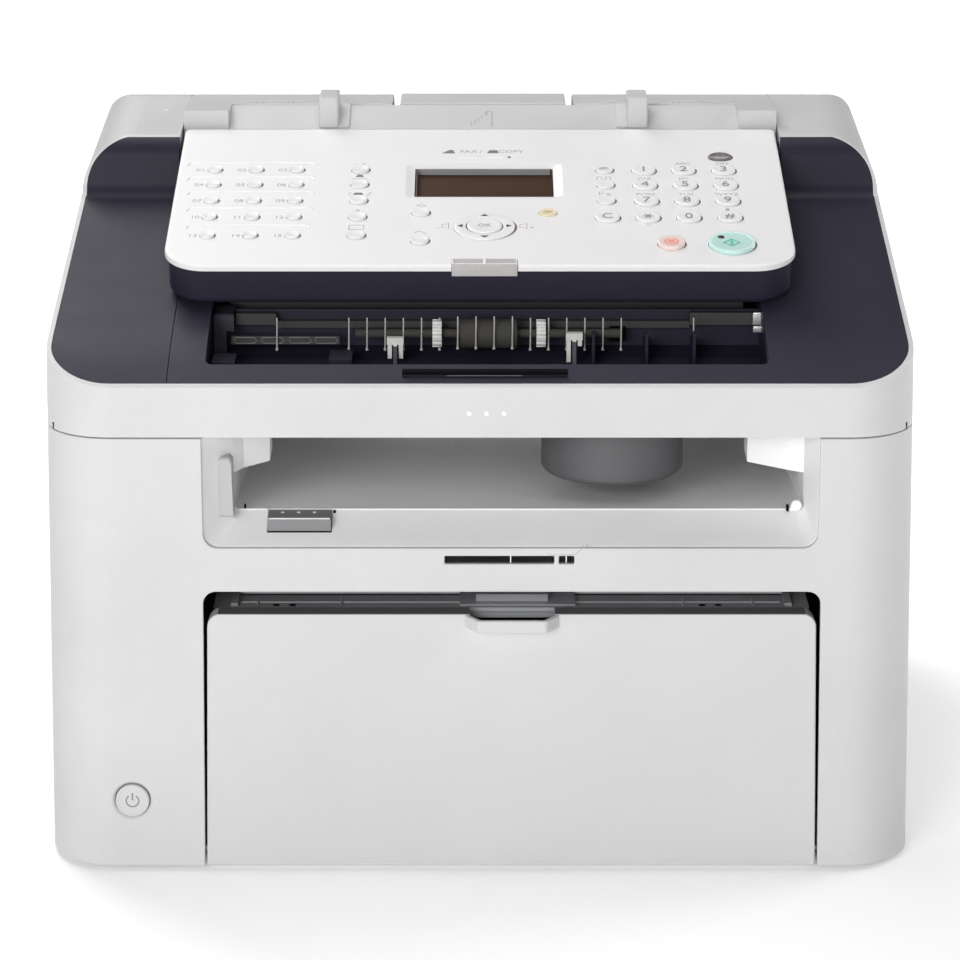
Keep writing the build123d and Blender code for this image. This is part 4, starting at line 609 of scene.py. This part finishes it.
# small line signs: a speaker on each side of the ring, then those of the other keys
for left in (-16.8, 17.6):
    panel_line(small_print, [(left + run, behind) for run, behind in SPEAKER], 0.35)
page = [(-57.6, 91.9), (-57.6, 96.4), (-51.2, 96.4), (-51.2, 91.9), (-57.6, 91.9), (-57.6, 93)]
panel_line(small_print, page, 0.55)
panel_line(small_print, [(110.0, 111.0), (110.0, 113.2)], 1.8)
for places in (
    [(-57.8, 144.3), (-51.2, 144.3)],
    [(-57.6, 126.8), (-59.2, 128.4), (-57.6, 130)],
    [(-50.6, 126.6), (-48.8, 130.2)],
    [(53.0, 143.2), (53.0, 146.4), (55.0, 146.4), (55.0, 143.6),
     (57.0, 143.6), (57.0, 146.4), (59.0, 146.4), (59.0, 143.2)],
    [(53.6, 127.2), (53.6, 130.4), (55.6, 130.4), (55.6, 128.8), (53.8, 128.8)],
    [(-28.2, 116.2), (-26.2, 118.0), (-24.2, 116.2), (-26.2, 114.9), (-28.2, 116.2)],
    [(-29.0, 88.6), (-27.2, 90.0), (-25.8, 90.0), (-23.8, 88.0)],
    [(73.0, 95.2), (74.1, 97.2), (75.2, 95.2)],
):
    panel_line(small_print, places, 0.4)
piece("panel_print", small_print, print_pale, "panel")

# solid signs: a page on each side of the words, and two in the function keys' column
dark_print = bmesh.new()
for outline in (
    [(-17.6, 171.6), (-14.0, 175.2), (-12.4, 175.2), (-11.4, 171.6)],
    [(3.2, 171.8), (4.4, 175.0), (8.0, 175.0), (8.6, 171.8)],
    [(-56.4, 146.0), (-55.4, 148.6), (-53.4, 148.6), (-52.6, 146.0)],
    [(-57.2, 127.4), (-56.2, 129.6), (-53.0, 129.6), (-52.2, 127.4)],
):
    slab(dark_print, [on_panel(across, behind) for across, behind in outline], PANEL_UP * 0.05 * MM)
piece("panel_print_dark", dark_print, print_and_highlight_grey, "panel")

# the sign on the mode key that is farthest back
form = bmesh.new()
top_mode = max(centres["mode_keys"], key=lambda cap: cap[0].y)[0]
for line in (((-2.2, -0.2), (-0.8, 1.0), (0.8, 1.0), (2.2, -0.2)), ((-1.3, -0.9), (0, 0.1), (1.3, -0.9))):
    sign = [top_mode + (X_AXIS * x + PANEL_ALONG * a + PANEL_UP * MARK_LIFT) * MM for x, a in line]
    stroke(form, sign, 0.5, 0.06, PANEL_UP)
piece("mode_sign", form, print_pale, "mode keys")

# raised dividers over the rows of one-touch keys, each with a slanted tick at its start
form = bmesh.new()
ticks = bmesh.new()
for index, behind in enumerate((161.8, 146.5, 131.0, 114.2, 96.6)):
    left = -131.2 + index
    curl = arc((-77.9, behind - 3.2), 3.2, 90, 5, steps=7)
    panel_line(form, [(left, behind), (-104, behind)] + curl, 2.0, 0.45)
    tick = [(left - 0.8, behind - 1.2), (left - 1.9, behind - 2.9), (left - 1.5, behind - 4.0)]
    panel_line(ticks, tick, 0.45)
# the bar under the words, and three dots by the panel's far edge
panel_line(form, [(-9.9, 167.2), (0, 167.2), (11.0, 167.2)], 2.4, 0.45)
for across in (-5.6, 1.6, 8.8):
    lathe(form, on_panel(across, 196.3), PANEL_UP, [(0.9, 0), (0.75, 0.3), (0, 0.4)])
piece("panel_ridges", form, finishes["panel_white"], "panel")
piece("panel_ticks", ticks, print_pale, "panel")
# painted shade: a dark brown disc stands for the inside of the microphone hole
form = bmesh.new()
lathe(form, on_panel(13.4, 167.4), PANEL_UP, [(0.75, 0), (0.7, 0.1), (0, 0.12)])
piece("microphone_hole", form, lamp_and_hole_shade_brown, "panel")

# ---------------------------------------------------------------- display and indicator
GLASS_DROP = 4.2
WALL_RISE = 2.6
LENS_LIFT = 0.5


def display_wall(form, places):
    """A lining on a wall of the display's window, from the glass up to the bevel."""
    outline = [on_panel(across, behind, -GLASS_DROP) for across, behind in places]
    slab(form, outline, PANEL_UP * WALL_RISE * MM, 0.1)


# the far wall's lining is painted pale grey: a painted reflection of the bezel on the dark wall
form = bmesh.new()
display_wall(form, [(-28.4, 157.2), (32.0, 157.2), (32.0, 157.7), (-28.4, 157.7)])
piece("display_far_wall", form, moulded("far_wall_painted_reflection", (0.23, 0.23, 0.235), 0.4, mottle=0.06), "panel")
# the left wall's lining is painted near black: painted shade on the wall that faces away from the light
form = bmesh.new()
display_wall(form, [(-28.8, 129.2), (-28.4, 129.2), (-28.4, 157.7), (-28.8, 157.7)])
piece("display_side_wall", form, moulded("side_wall_painted_shade", (0.03, 0.028, 0.027), 0.5, mottle=0.08), "panel")
# painted highlights on the indicator lens: pale strokes down its middle, at each end and along its front
form = bmesh.new()
for across, width in ((1.95, 1.1), (-11.9, 0.4), (15.8, 0.4)):
    stroke(form, [on_panel(across, s, LENS_LIFT) for s in (57.4, 59.4, 62.0)], width, 0.12, PANEL_UP)
stroke(form, [on_panel(across, 57.3, LENS_LIFT) for across in (-11.8, 1.9, 15.7)], 0.5, 0.12, PANEL_UP)
piece("indicator_highlights", form, mark_white, "panel")

# ---------------------------------------------------------------- front of the housing
POWER_ACROSS, POWER_UP = -150.3, 32.5
power_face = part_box("power_button")[0].y


def on_power_button(across, up):
    """A place on the power button's face, in millimetres from its middle."""
    return Vector(((POWER_ACROSS + across) * MM, power_face, (POWER_UP + up) * MM))


# three raised dots on the reader's band
form = bmesh.new()
for across in (-4.4, 2.9, 10.2):
    lathe(form, at(across, 0.0, 206.5), OUT_OF_FRONT, [(1.15, -0.1), (1.05, 0.2), (0.6, 0.42), (0, 0.5)])
piece("band_dots", form, finishes["panel_white"], "reader")

# the power button's sign, a broken ring and a bar, and its rim
form = bmesh.new()
broken_ring = arc((0, 0), 2.7, -235, 55, steps=24)
stroke(form, [on_power_button(x, z) for x, z in broken_ring], 0.65, 0.06, OUT_OF_FRONT)
stroke(form, [on_power_button(0, rise) for rise in (0.2, 1.9, 3.6)], 0.7, 0.06, OUT_OF_FRONT)
piece("power_sign", form, print_soft, "power button")
form = bmesh.new()
power_rim = [(7.0, -0.4), (6.9, 0.05), (6.6, 0.18), (6.2, 0.14), (6.0, 0.0), (5.9, -0.2)]
lathe(form, on_power_button(0, 0), OUT_OF_FRONT, power_rim, sides=48)
piece("power_rim", form, finishes["shell"], "power button")

# the folded-page sign over the slot, and the slot's two pale teeth
form = bmesh.new()
for line in (
    ((28.6, 144.9), (29.9, 144.1), (39.7, 144.1), (41.5, 145.2), (43.7, 147.3)),
    ((43.2, 148.8), (44.3, 147.0), (45.9, 148.8)),
):
    stroke(form, [at(across, 0.0, up) for across, up in line], 0.3, 0.05, OUT_OF_FRONT)
piece("slot_sign", form, print_pale, "housing")
form = bmesh.new()
for across in (13.0, 36.6):
    stroke(form, [at(across, 1.4, up) for up in (140.2, 141.8, 143.3)], 0.5, 0.3, OUT_OF_FRONT)
piece("slot_teeth", form, finishes["liner"], "housing")

# ---------------------------------------------------------------- output bay
LIP = 157.4
TAB_TOP = 156.9

# a white bead along the front edge of the bay's floor, on both sides of the grey tab; its white is a painted
# highlight of the lit edge
form = bmesh.new()
for start, end in ((-103.4, -91.2), (-62.8, 134.6)):
    stroke(form, [at(x, 22.3, LIP) for x in (start, (start + end) / 2, end)], 1.3, 0.55, Z_AXIS)
piece("bay_lip_highlight", form, mark_white, "housing")

# a line and three dots on the tab
form = bmesh.new()
stroke(form, [at(across, 10.5, TAB_TOP) for across in (-90.0, -77.0, -64.0)], 1.2, 0.4, Z_AXIS)
for across in (-84.4, -77.6, -70.9):
    lathe(form, at(across, 19.6, TAB_TOP), Z_AXIS, [(0.8, 0), (0.7, 0.25), (0, 0.35)])
piece("tab_marks", form, mark_white, "tray extension")

# the round peg and its foot in the right-hand corner, and the post on the left
form = bmesh.new()
lathe(form, at(135.4, 20.6, 159.9), OUT_OF_FRONT, [(2.4, 0), (2.4, 1.0), (2.0, 1.5), (0, 1.6)])
block(form, (132.6, 20.2, 157.3), (135.0, 23.4, 159.0), 0.3)
piece("bay_peg", form, finishes["liner"], "housing")
form = bmesh.new()
post = [(-114.2, 157.0), (-104.9, 157.0), (-105.3, 181.6), (-106.8, 183.4), (-113.6, 183.4), (-114.2, 182.0)]
slab(form, [at(across, 20.0, up) for across, up in post], OUT_OF_FRONT * 8.0 * MM, 0.9)
piece("bay_post", form, moulded("post_grey", (0.43, 0.425, 0.43), 0.5), "housing")

# small black blocks where the floor meets the bay's walls and the tab: painted shade in the slots there
form = bmesh.new()
block(form, (131.2, 19.8, 157.3), (132.2, 22.0, 160.0), 0.2)
block(form, (-101.2, 22.0, 157.3), (-100.4, 25.0, 159.2), 0.1)
block(form, (-62.9, 20.0, 156.0), (-61.8, 22.8, 157.3), 0.1)
piece("bay_slots", form, painted_shade_black, "housing")

# ---------------------------------------------------------------- document well
FINGERS_START, FINGER_PITCH = -56.8, 7.87
FINGER_END = [(0.62, -0.5), (0.62, 0.3), (0.35, 0.8)]
SLIT_EDGE = 221.2

# pick-off fingers: sixteen in a row and one at each end; those over the feed roller clear its tyre
wires = bmesh.new()
for across in [FINGERS_START + FINGER_PITCH * step for step in range(16)] + [-88.0, 92.6]:
    forward, higher = (6.4, 2.2) if -12.0 < across < 18.0 else (0.0, 0.0)
    behind, foot = 59.0 - forward, 219.2 + higher
    top = at(across, behind + 1.5, foot + 13.2)
    knee = at(across, behind + 0.4, foot + 8.8)
    tube(wires, [top, knee, at(across - 0.1, behind, foot)], 0.36, sides=10)
    lathe(wires, at(across - 0.1, behind, foot - 0.4), Z_AXIS, FINGER_END, sides=12)
piece("well_fingers", wires, moulded("finger_grey", (0.40, 0.37, 0.35), 0.45), "reader")

# the rail left of the rollers, with pale strokes outlining its four windows as painted highlights
rail_grey = moulded("rail_grey", (0.014, 0.014, 0.015), 0.6, mottle=0.1, Specular_IOR_Level=0.1)
rail_highlight_pale = moulded("rail_highlight_pale", (0.13, 0.13, 0.125), 0.4, mottle=0.1)
form = bmesh.new()
block(form, (-108.0, 60.5, 220.6), (-61.0, 63.0, 224.2), 0.5)
piece("roller_rail", form, rail_grey, "reader")
form = bmesh.new()
window = [(0, 223.7), (8.6, 223.7), (9.6, 222.3), (8.6, 221.1), (0.6, 221.1), (0, 222.3), (0, 223.7)]
for start in (-106.5, -94.6, -82.7, -71.4):
    stroke(form, [at(start + run, 60.4, up) for run, up in window], 0.5, 0.2, OUT_OF_FRONT)
piece("rail_highlights", form, rail_highlight_pale, "reader")

# a square hole with cut corners in the well's far wall, drawn as a black plate: painted shade inside the hole
form = bmesh.new()
hole = ((0.1, 0), (0.9, 0), (1, 0.1), (1, 0.9), (0.9, 1), (0.1, 1), (0, 0.9), (0, 0.1))
slab(form, [at(56.3 + 7.4 * x, 69.4, 219.6 + 7.0 * z) for x, z in hole], OUT_OF_FRONT * 0.4 * MM, 0.1)
piece("well_hole", form, painted_shade_black, "reader")

# the block at the well's left end, the dark guides along its top and the steel latch on the right
form = bmesh.new()
block(form, (-115.6, 62.0, 226.0), (-106.8, 80.0, 233.6), 0.8)
block(form, (-115.6, 62.0, 206.0), (-110.2, 70.0, 226.4), 0.5)
piece("well_hinge_block", form, finishes["deck"], "reader")
guide_grey = moulded("guide_grey", (0.010, 0.010, 0.012), 0.6, mottle=0.1, Specular_IOR_Level=0.1)
form = bmesh.new()
block(form, (-106.4, 68.0, 227.4), (-88.8, 72.0, 232.4), 0.3)
block(form, (91.4, 68.0, 227.4), (119.0, 72.0, 232.8), 0.3)
block(form, (-88.8, 70.0, 225.6), (91.4, 74.0, 228.6), 0.3)
piece("well_top_guide", form, guide_grey, "reader")
form = bmesh.new()
block(form, (118.6, 62.0, 225.6), (124.6, 64.6, 228.2), 0.5)
block(form, (118.6, 64.0, 228.6), (124.2, 66.0, 233.8), 0.3)
piece("well_latch", form, moulded("latch_steel", (0.55, 0.55, 0.56), 0.3, Metallic=0.8), "reader")

# the finger slit in front of the well: a black block in its bottom is painted shade, and a paler stroke along its
# edge is a painted highlight
form = bmesh.new()
block(form, (-32.5, 6.0, 221.6), (36.7, 10.4, 223.0), 0.1)
piece("slit_gap", form, painted_shade_black, "reader")
form = bmesh.new()
stroke(form, [at(across, 6.0, SLIT_EDGE) for across in (-13.8, 0.0, 17.6)], 0.8, 0.2, Z_AXIS)
piece("slit_edge_highlight", form, print_and_highlight_grey, "reader")

# ---------------------------------------------------------------- document feeder
BAND_START, BAND_END = 203.6, 262.0
BAND_HIGH, BAND_LOW = 296.0, 292.5
RECESS_HEIGHT, RECESS_SLOPE = 287.2, 0.26
RECESS_UP = Vector((0, -RECESS_SLOPE, 1)).normalized()


def on_band(across, behind, lift=0.0):
    """A place on the feeder's nearly flat top."""
    share = (behind - BAND_START) / (BAND_END - BAND_START)
    return at(across, behind, BAND_HIGH - share * (BAND_HIGH - BAND_LOW) + lift)


def band_word(form, text, across, behind, height):
    """Letters that lie on the feeder's top."""
    slope = (on_band(0, behind + 1) - on_band(0, behind)).normalized()
    lettering(form, text, on_band(across, behind, 0.03), X_AXIS, slope, height)


def recess_line(form, places, width=0.4):
    """A printed line on the sloping floor of the feeder's recess."""
    points = [at(x, s, RECESS_HEIGHT + RECESS_SLOPE * (s - BAND_START)) for x, s in places]
    stroke(form, points, width, 0.12, RECESS_UP)


# paper sizes and their ticks along the guides' travel
form = bmesh.new()
for text, across in (
    ("LEGAL", -109),
    ("LETTER", -96.5),
    ("A4", -86.0),
    ("LTR", 62.5),
    ("A5", 84.0),
    ("LETTER", 96.5),
    ("LEGAL", 111),
):
    band_word(form, text, across, 238.5, 3.6)
for across in (-60.0, -46.0, 50.0):
    band_word(form, "||||", across, 238.5, 3.2)
piece("size_print", form, mark_white, "reader")
form = bmesh.new()
for across in (-105.6, -102.8, -91.0, -88.8, 91.6, 94.2, 105.7, 108.0):
    stroke(form, [on_band(across, behind) for behind in (231.5, 233.5, 235.6)], 0.5, 0.05, Z_AXIS)
piece("size_ticks", form, print_pale, "reader")

# raised dots on the flap and on the left shoulder
form = bmesh.new()
for across in (-6.0, 1.1, 8.2):
    lathe(form, on_band(across, 252.6, 0.1), Z_AXIS, [(0.95, 0), (0.8, 0.35), (0, 0.45)])
piece("flap_dots", form, mark_white, "feeder flap")
form = bmesh.new()
lathe(form, at(-149.0, 232.0, 290.7), Z_AXIS, [(1.2, -0.3), (1.1, 0.2), (0, 0.4)])
piece("shoulder_dot", form, mark_white, "reader")

# the stack sign: a hooked line beside five leaning sheets
form = bmesh.new()
recess_line(form, [(5.6, 206), (5.6, 222)], 0.5)
recess_line(form, [(3.2, 222), (5.6, 222)], 0.5)
recess_line(form, [(3.2, 218), (3.2, 222)], 0.5)
for step, top in enumerate((207.5, 209.5, 212.0, 215.0, 218.0)):
    recess_line(form, [(-4.0 + 1.6 * step, top), (-4.0 + 1.6 * step, top + 3.4)])
piece("stack_sign", form, print_pale, "reader")

# ---------------------------------------------------------------- tray cover behind the front door
TRAY_TOP = 114.2
TRAY_FAR = 38.0
TRAY_HALVES = ((-106.0, -3.5), (31.5, 133.0))
tray_rib_highlight = moulded("tray_rib_highlight", (0.42, 0.43, 0.45), 0.3, mottle=0.05)
tray_step = moulded("tray_step", (0.55, 0.56, 0.58), 0.35, mottle=0.05)

# ribs along and across the cover, paler than the cover's own grey as painted highlights
form = bmesh.new()
for behind in (17.4, 26.0):
    stroke(form, [at(across, behind, TRAY_TOP) for across in (-104, 13.8, 130)], 0.7, 0.3, Z_AXIS)
for across in (-96.0, -60.0, 88.0, 118.0):
    stroke(form, [at(across, behind, TRAY_TOP) for behind in (18, 22, 30)], 1.0, 0.5, Z_AXIS)
piece("tray_ribs", form, tray_rib_highlight, "tray cover")

# a raised step at the back of each half, and the dark seam in front of it
form = bmesh.new()
for start, end in TRAY_HALVES:
    block(form, (start, TRAY_FAR, TRAY_TOP), (end, TRAY_FAR + 9.0, TRAY_TOP + 0.9), 0.3)
piece("tray_step", form, tray_step, "tray cover")
form = bmesh.new()
for start, end in TRAY_HALVES:
    seam = [at(across, TRAY_FAR - 1.6, TRAY_TOP) for across in (start, (start + end) / 2, end)]
    stroke(form, seam, 2.4, 0.1, Z_AXIS)
piece("tray_seam", form, print_dark, "tray cover")

# two pairs of round holes, drawn as black discs: painted shade inside the holes
form = bmesh.new()
for across in (-88.0, -81.0, 96.0, 103.0):
    lathe(form, at(across, 22.0, TRAY_TOP), Z_AXIS, [(1.6, 0), (1.5, 0.06), (0, 0.07)])
piece("tray_holes", form, painted_shade_black, "tray cover")

# ---------------------------------------------------------------- back
BACK = 304.0
SCREWS = ((-166, 60), (-166, 170), (160, 60), (160, 170), (0, 12), (0, 182))
BLADE = ((-0.9, -1.8), (0.9, -1.8), (0.9, 1.8), (-0.9, 1.8))
PLATE = ((-24, 26), (26, 26), (27, 27), (27, 49), (26, 50), (-24, 50), (-25, 49), (-25, 27))

# screw heads with crossed slots; the black strokes in the slots are painted shade
heads, crosses = bmesh.new(), bmesh.new()
for across, up in SCREWS:
    lathe(heads, at(across, BACK - 0.25, up), Y_AXIS, [(3.4, 0), (3.3, 0.2), (2.9, 0.24), (0, 0.24)])
    middle = at(across, BACK - 0.03, up)
    for turn in (20, 110):
        reach = (X_AXIS * cos(radians(turn)) + Z_AXIS * sin(radians(turn))) * 2.0 * MM
        stroke(crosses, [middle - reach, middle, middle + reach], 0.7, 0.02, Y_AXIS)
piece("screw_heads", heads, finishes["steel"], "housing")
piece("screw_crosses", crosses, painted_shade_black, "housing")

# the mains inlet's three blades and the four contacts of each telephone jack
form = bmesh.new()
inlet = at(128.0, BACK - 6.2, 30.0)
for across, up in ((-7, -2), (0, 3), (7, -2)):
    blade = [inlet + (X_AXIS * (across + x) + Z_AXIS * (up + z)) * MM for x, z in BLADE]
    slab(form, blade, Y_AXIS * 4.4 * MM, 0.4)
piece("inlet_blades", form, finishes["steel"], "housing")
form = bmesh.new()
for jack in (57.0, 70.0):
    for pin in range(4):
        contact = [at(jack - 1.8 + 1.2 * pin, BACK - 1.4, 23.4 + rise) for rise in (0, 1.6, 3.2)]
        stroke(form, contact, 0.5, 0.3, Y_AXIS)
piece("jack_contacts", form, moulded("gilt", (0.75, 0.55, 0.22), 0.3, Metallic=1.0), "housing")

# a blank rating plate with four lines
form = bmesh.new()
slab(form, [at(across, BACK - 0.2, up) for across, up in PLATE], Y_AXIS * 0.18 * MM)
plate_silver = moulded("plate_silver", (0.55, 0.56, 0.57), 0.35, mottle=0.02)
piece("rating_plate", form, plate_silver, "housing")
form = bmesh.new()
for row in range(4):
    line = [at(across, BACK - 0.02, 45 - 4.6 * row) for across in (-20, 0, 22 - 5 * (row % 2))]
    stroke(form, line, 0.8, 0.02, Y_AXIS)
piece("rating_lines", form, print_pale, "housing")

# ---------------------------------------------------------------- camera, light and floor
CAMERA_DISTANCE, CAMERA_HEIGHT, CAMERA_TILT = 1.455, 0.616, 16.0
SENSOR_WIDTH, LENS_LENGTH, LENS_SHIFT = 36.0, 135.1875, -0.0510417
camera_data = bpy.data.cameras.new("camera")
camera_data.sensor_width = SENSOR_WIDTH
camera_data.lens = LENS_LENGTH
camera_data.shift_y = LENS_SHIFT
camera_data.clip_end = 60.0
camera = bpy.data.objects.new("camera", camera_data)
camera.location = (0.0, FRONT - CAMERA_DISTANCE, CAMERA_HEIGHT)
camera.rotation_euler = (radians(90 - CAMERA_TILT), 0.0, 0.0)
scene.collection.objects.link(camera)
scene.camera = camera
scene.view_settings.view_transform = "Standard"


def soft_light(name, place, target, size, power):
    """A rectangular lamp at a place, turned towards a target."""
    data = bpy.data.lights.new(name, "AREA")
    data.shape = "RECTANGLE"
    data.size, data.size_y = size
    data.energy = power
    lamp = bpy.data.objects.new(name, data)
    lamp.location = place
    lamp.rotation_euler = (Vector(target) - Vector(place)).to_track_quat("-Z", "Y").to_euler()
    scene.collection.objects.link(lamp)


soft_light("key_light", (-1.0, -2.3, 0.95), (0, 0, 0.2), (1.2, 1.0), 30.0)
soft_light("front_light", (-0.1, -2.8, 0.85), (0, 0, 0.17), (2.0, 0.9), 23.5)
soft_light("back_left_light", (-0.9, 1.4, 1.8), (0, 0, 0.2), (1.2, 1.2), 28.0)
soft_light("right_light", (2.0, 0.9, 0.9), (0, 0, 0.15), (1.0, 1.2), 20.0)
soft_light("top_light", (0.0, 0.2, 2.6), (0, 0, 0.2), (1.8, 1.4), 26.0)
world = bpy.data.worlds.new("studio")
scene.world = world
world.use_nodes = True
backdrop = world.node_tree.nodes["Background"]
backdrop.inputs["Color"].default_value = (1.0, 1.0, 1.0, 1.0)
backdrop.inputs["Strength"].default_value = 0.015

# a plain floor that glows a little more the farther it is from the machine
floor_form = bmesh.new()
corners = [floor_form.verts.new((x, y, 0.0)) for x, y in ((-9, -9), (9, -9), (9, 9), (-9, 9))]
floor_form.faces.new(corners)
bmesh.ops.subdivide_edges(floor_form, edges=floor_form.edges, cuts=6, use_grid_fill=True)
floor_mesh = bpy.data.meshes.new("floor")
floor_form.to_mesh(floor_mesh)
floor_form.free()
floor_finish = moulded(
    "floor_white", (0.93, 0.93, 0.93), 0.85, mottle=0.004, grain=0.02, grain_scale=60.0, wear=0.0
)
floor_shader = floor_finish.node_tree.nodes["Principled BSDF"]
floor_shader.inputs["Emission Color"].default_value = (1.0, 1.0, 1.0, 1.0)
floor_tree = floor_finish.node_tree
floor_place = add_node(floor_tree, "ShaderNodeTexCoord")
floor_reach = add_node(floor_tree, "ShaderNodeVectorMath", operation="LENGTH")
floor_glow = add_node(floor_tree, "ShaderNodeMapRange", From_Min=0.45, From_Max=1.7, To_Min=0.22, To_Max=0.75)
floor_tree.links.new(floor_place.outputs["Object"], floor_reach.inputs[0])
floor_tree.links.new(floor_reach.outputs["Value"], floor_glow.inputs["Value"])
floor_tree.links.new(floor_glow.outputs["Result"], floor_shader.inputs["Emission Strength"])
floor_mesh.materials.append(floor_finish)
floor = bpy.data.objects.new("floor", floor_mesh)
scene.collection.objects.link(floor)
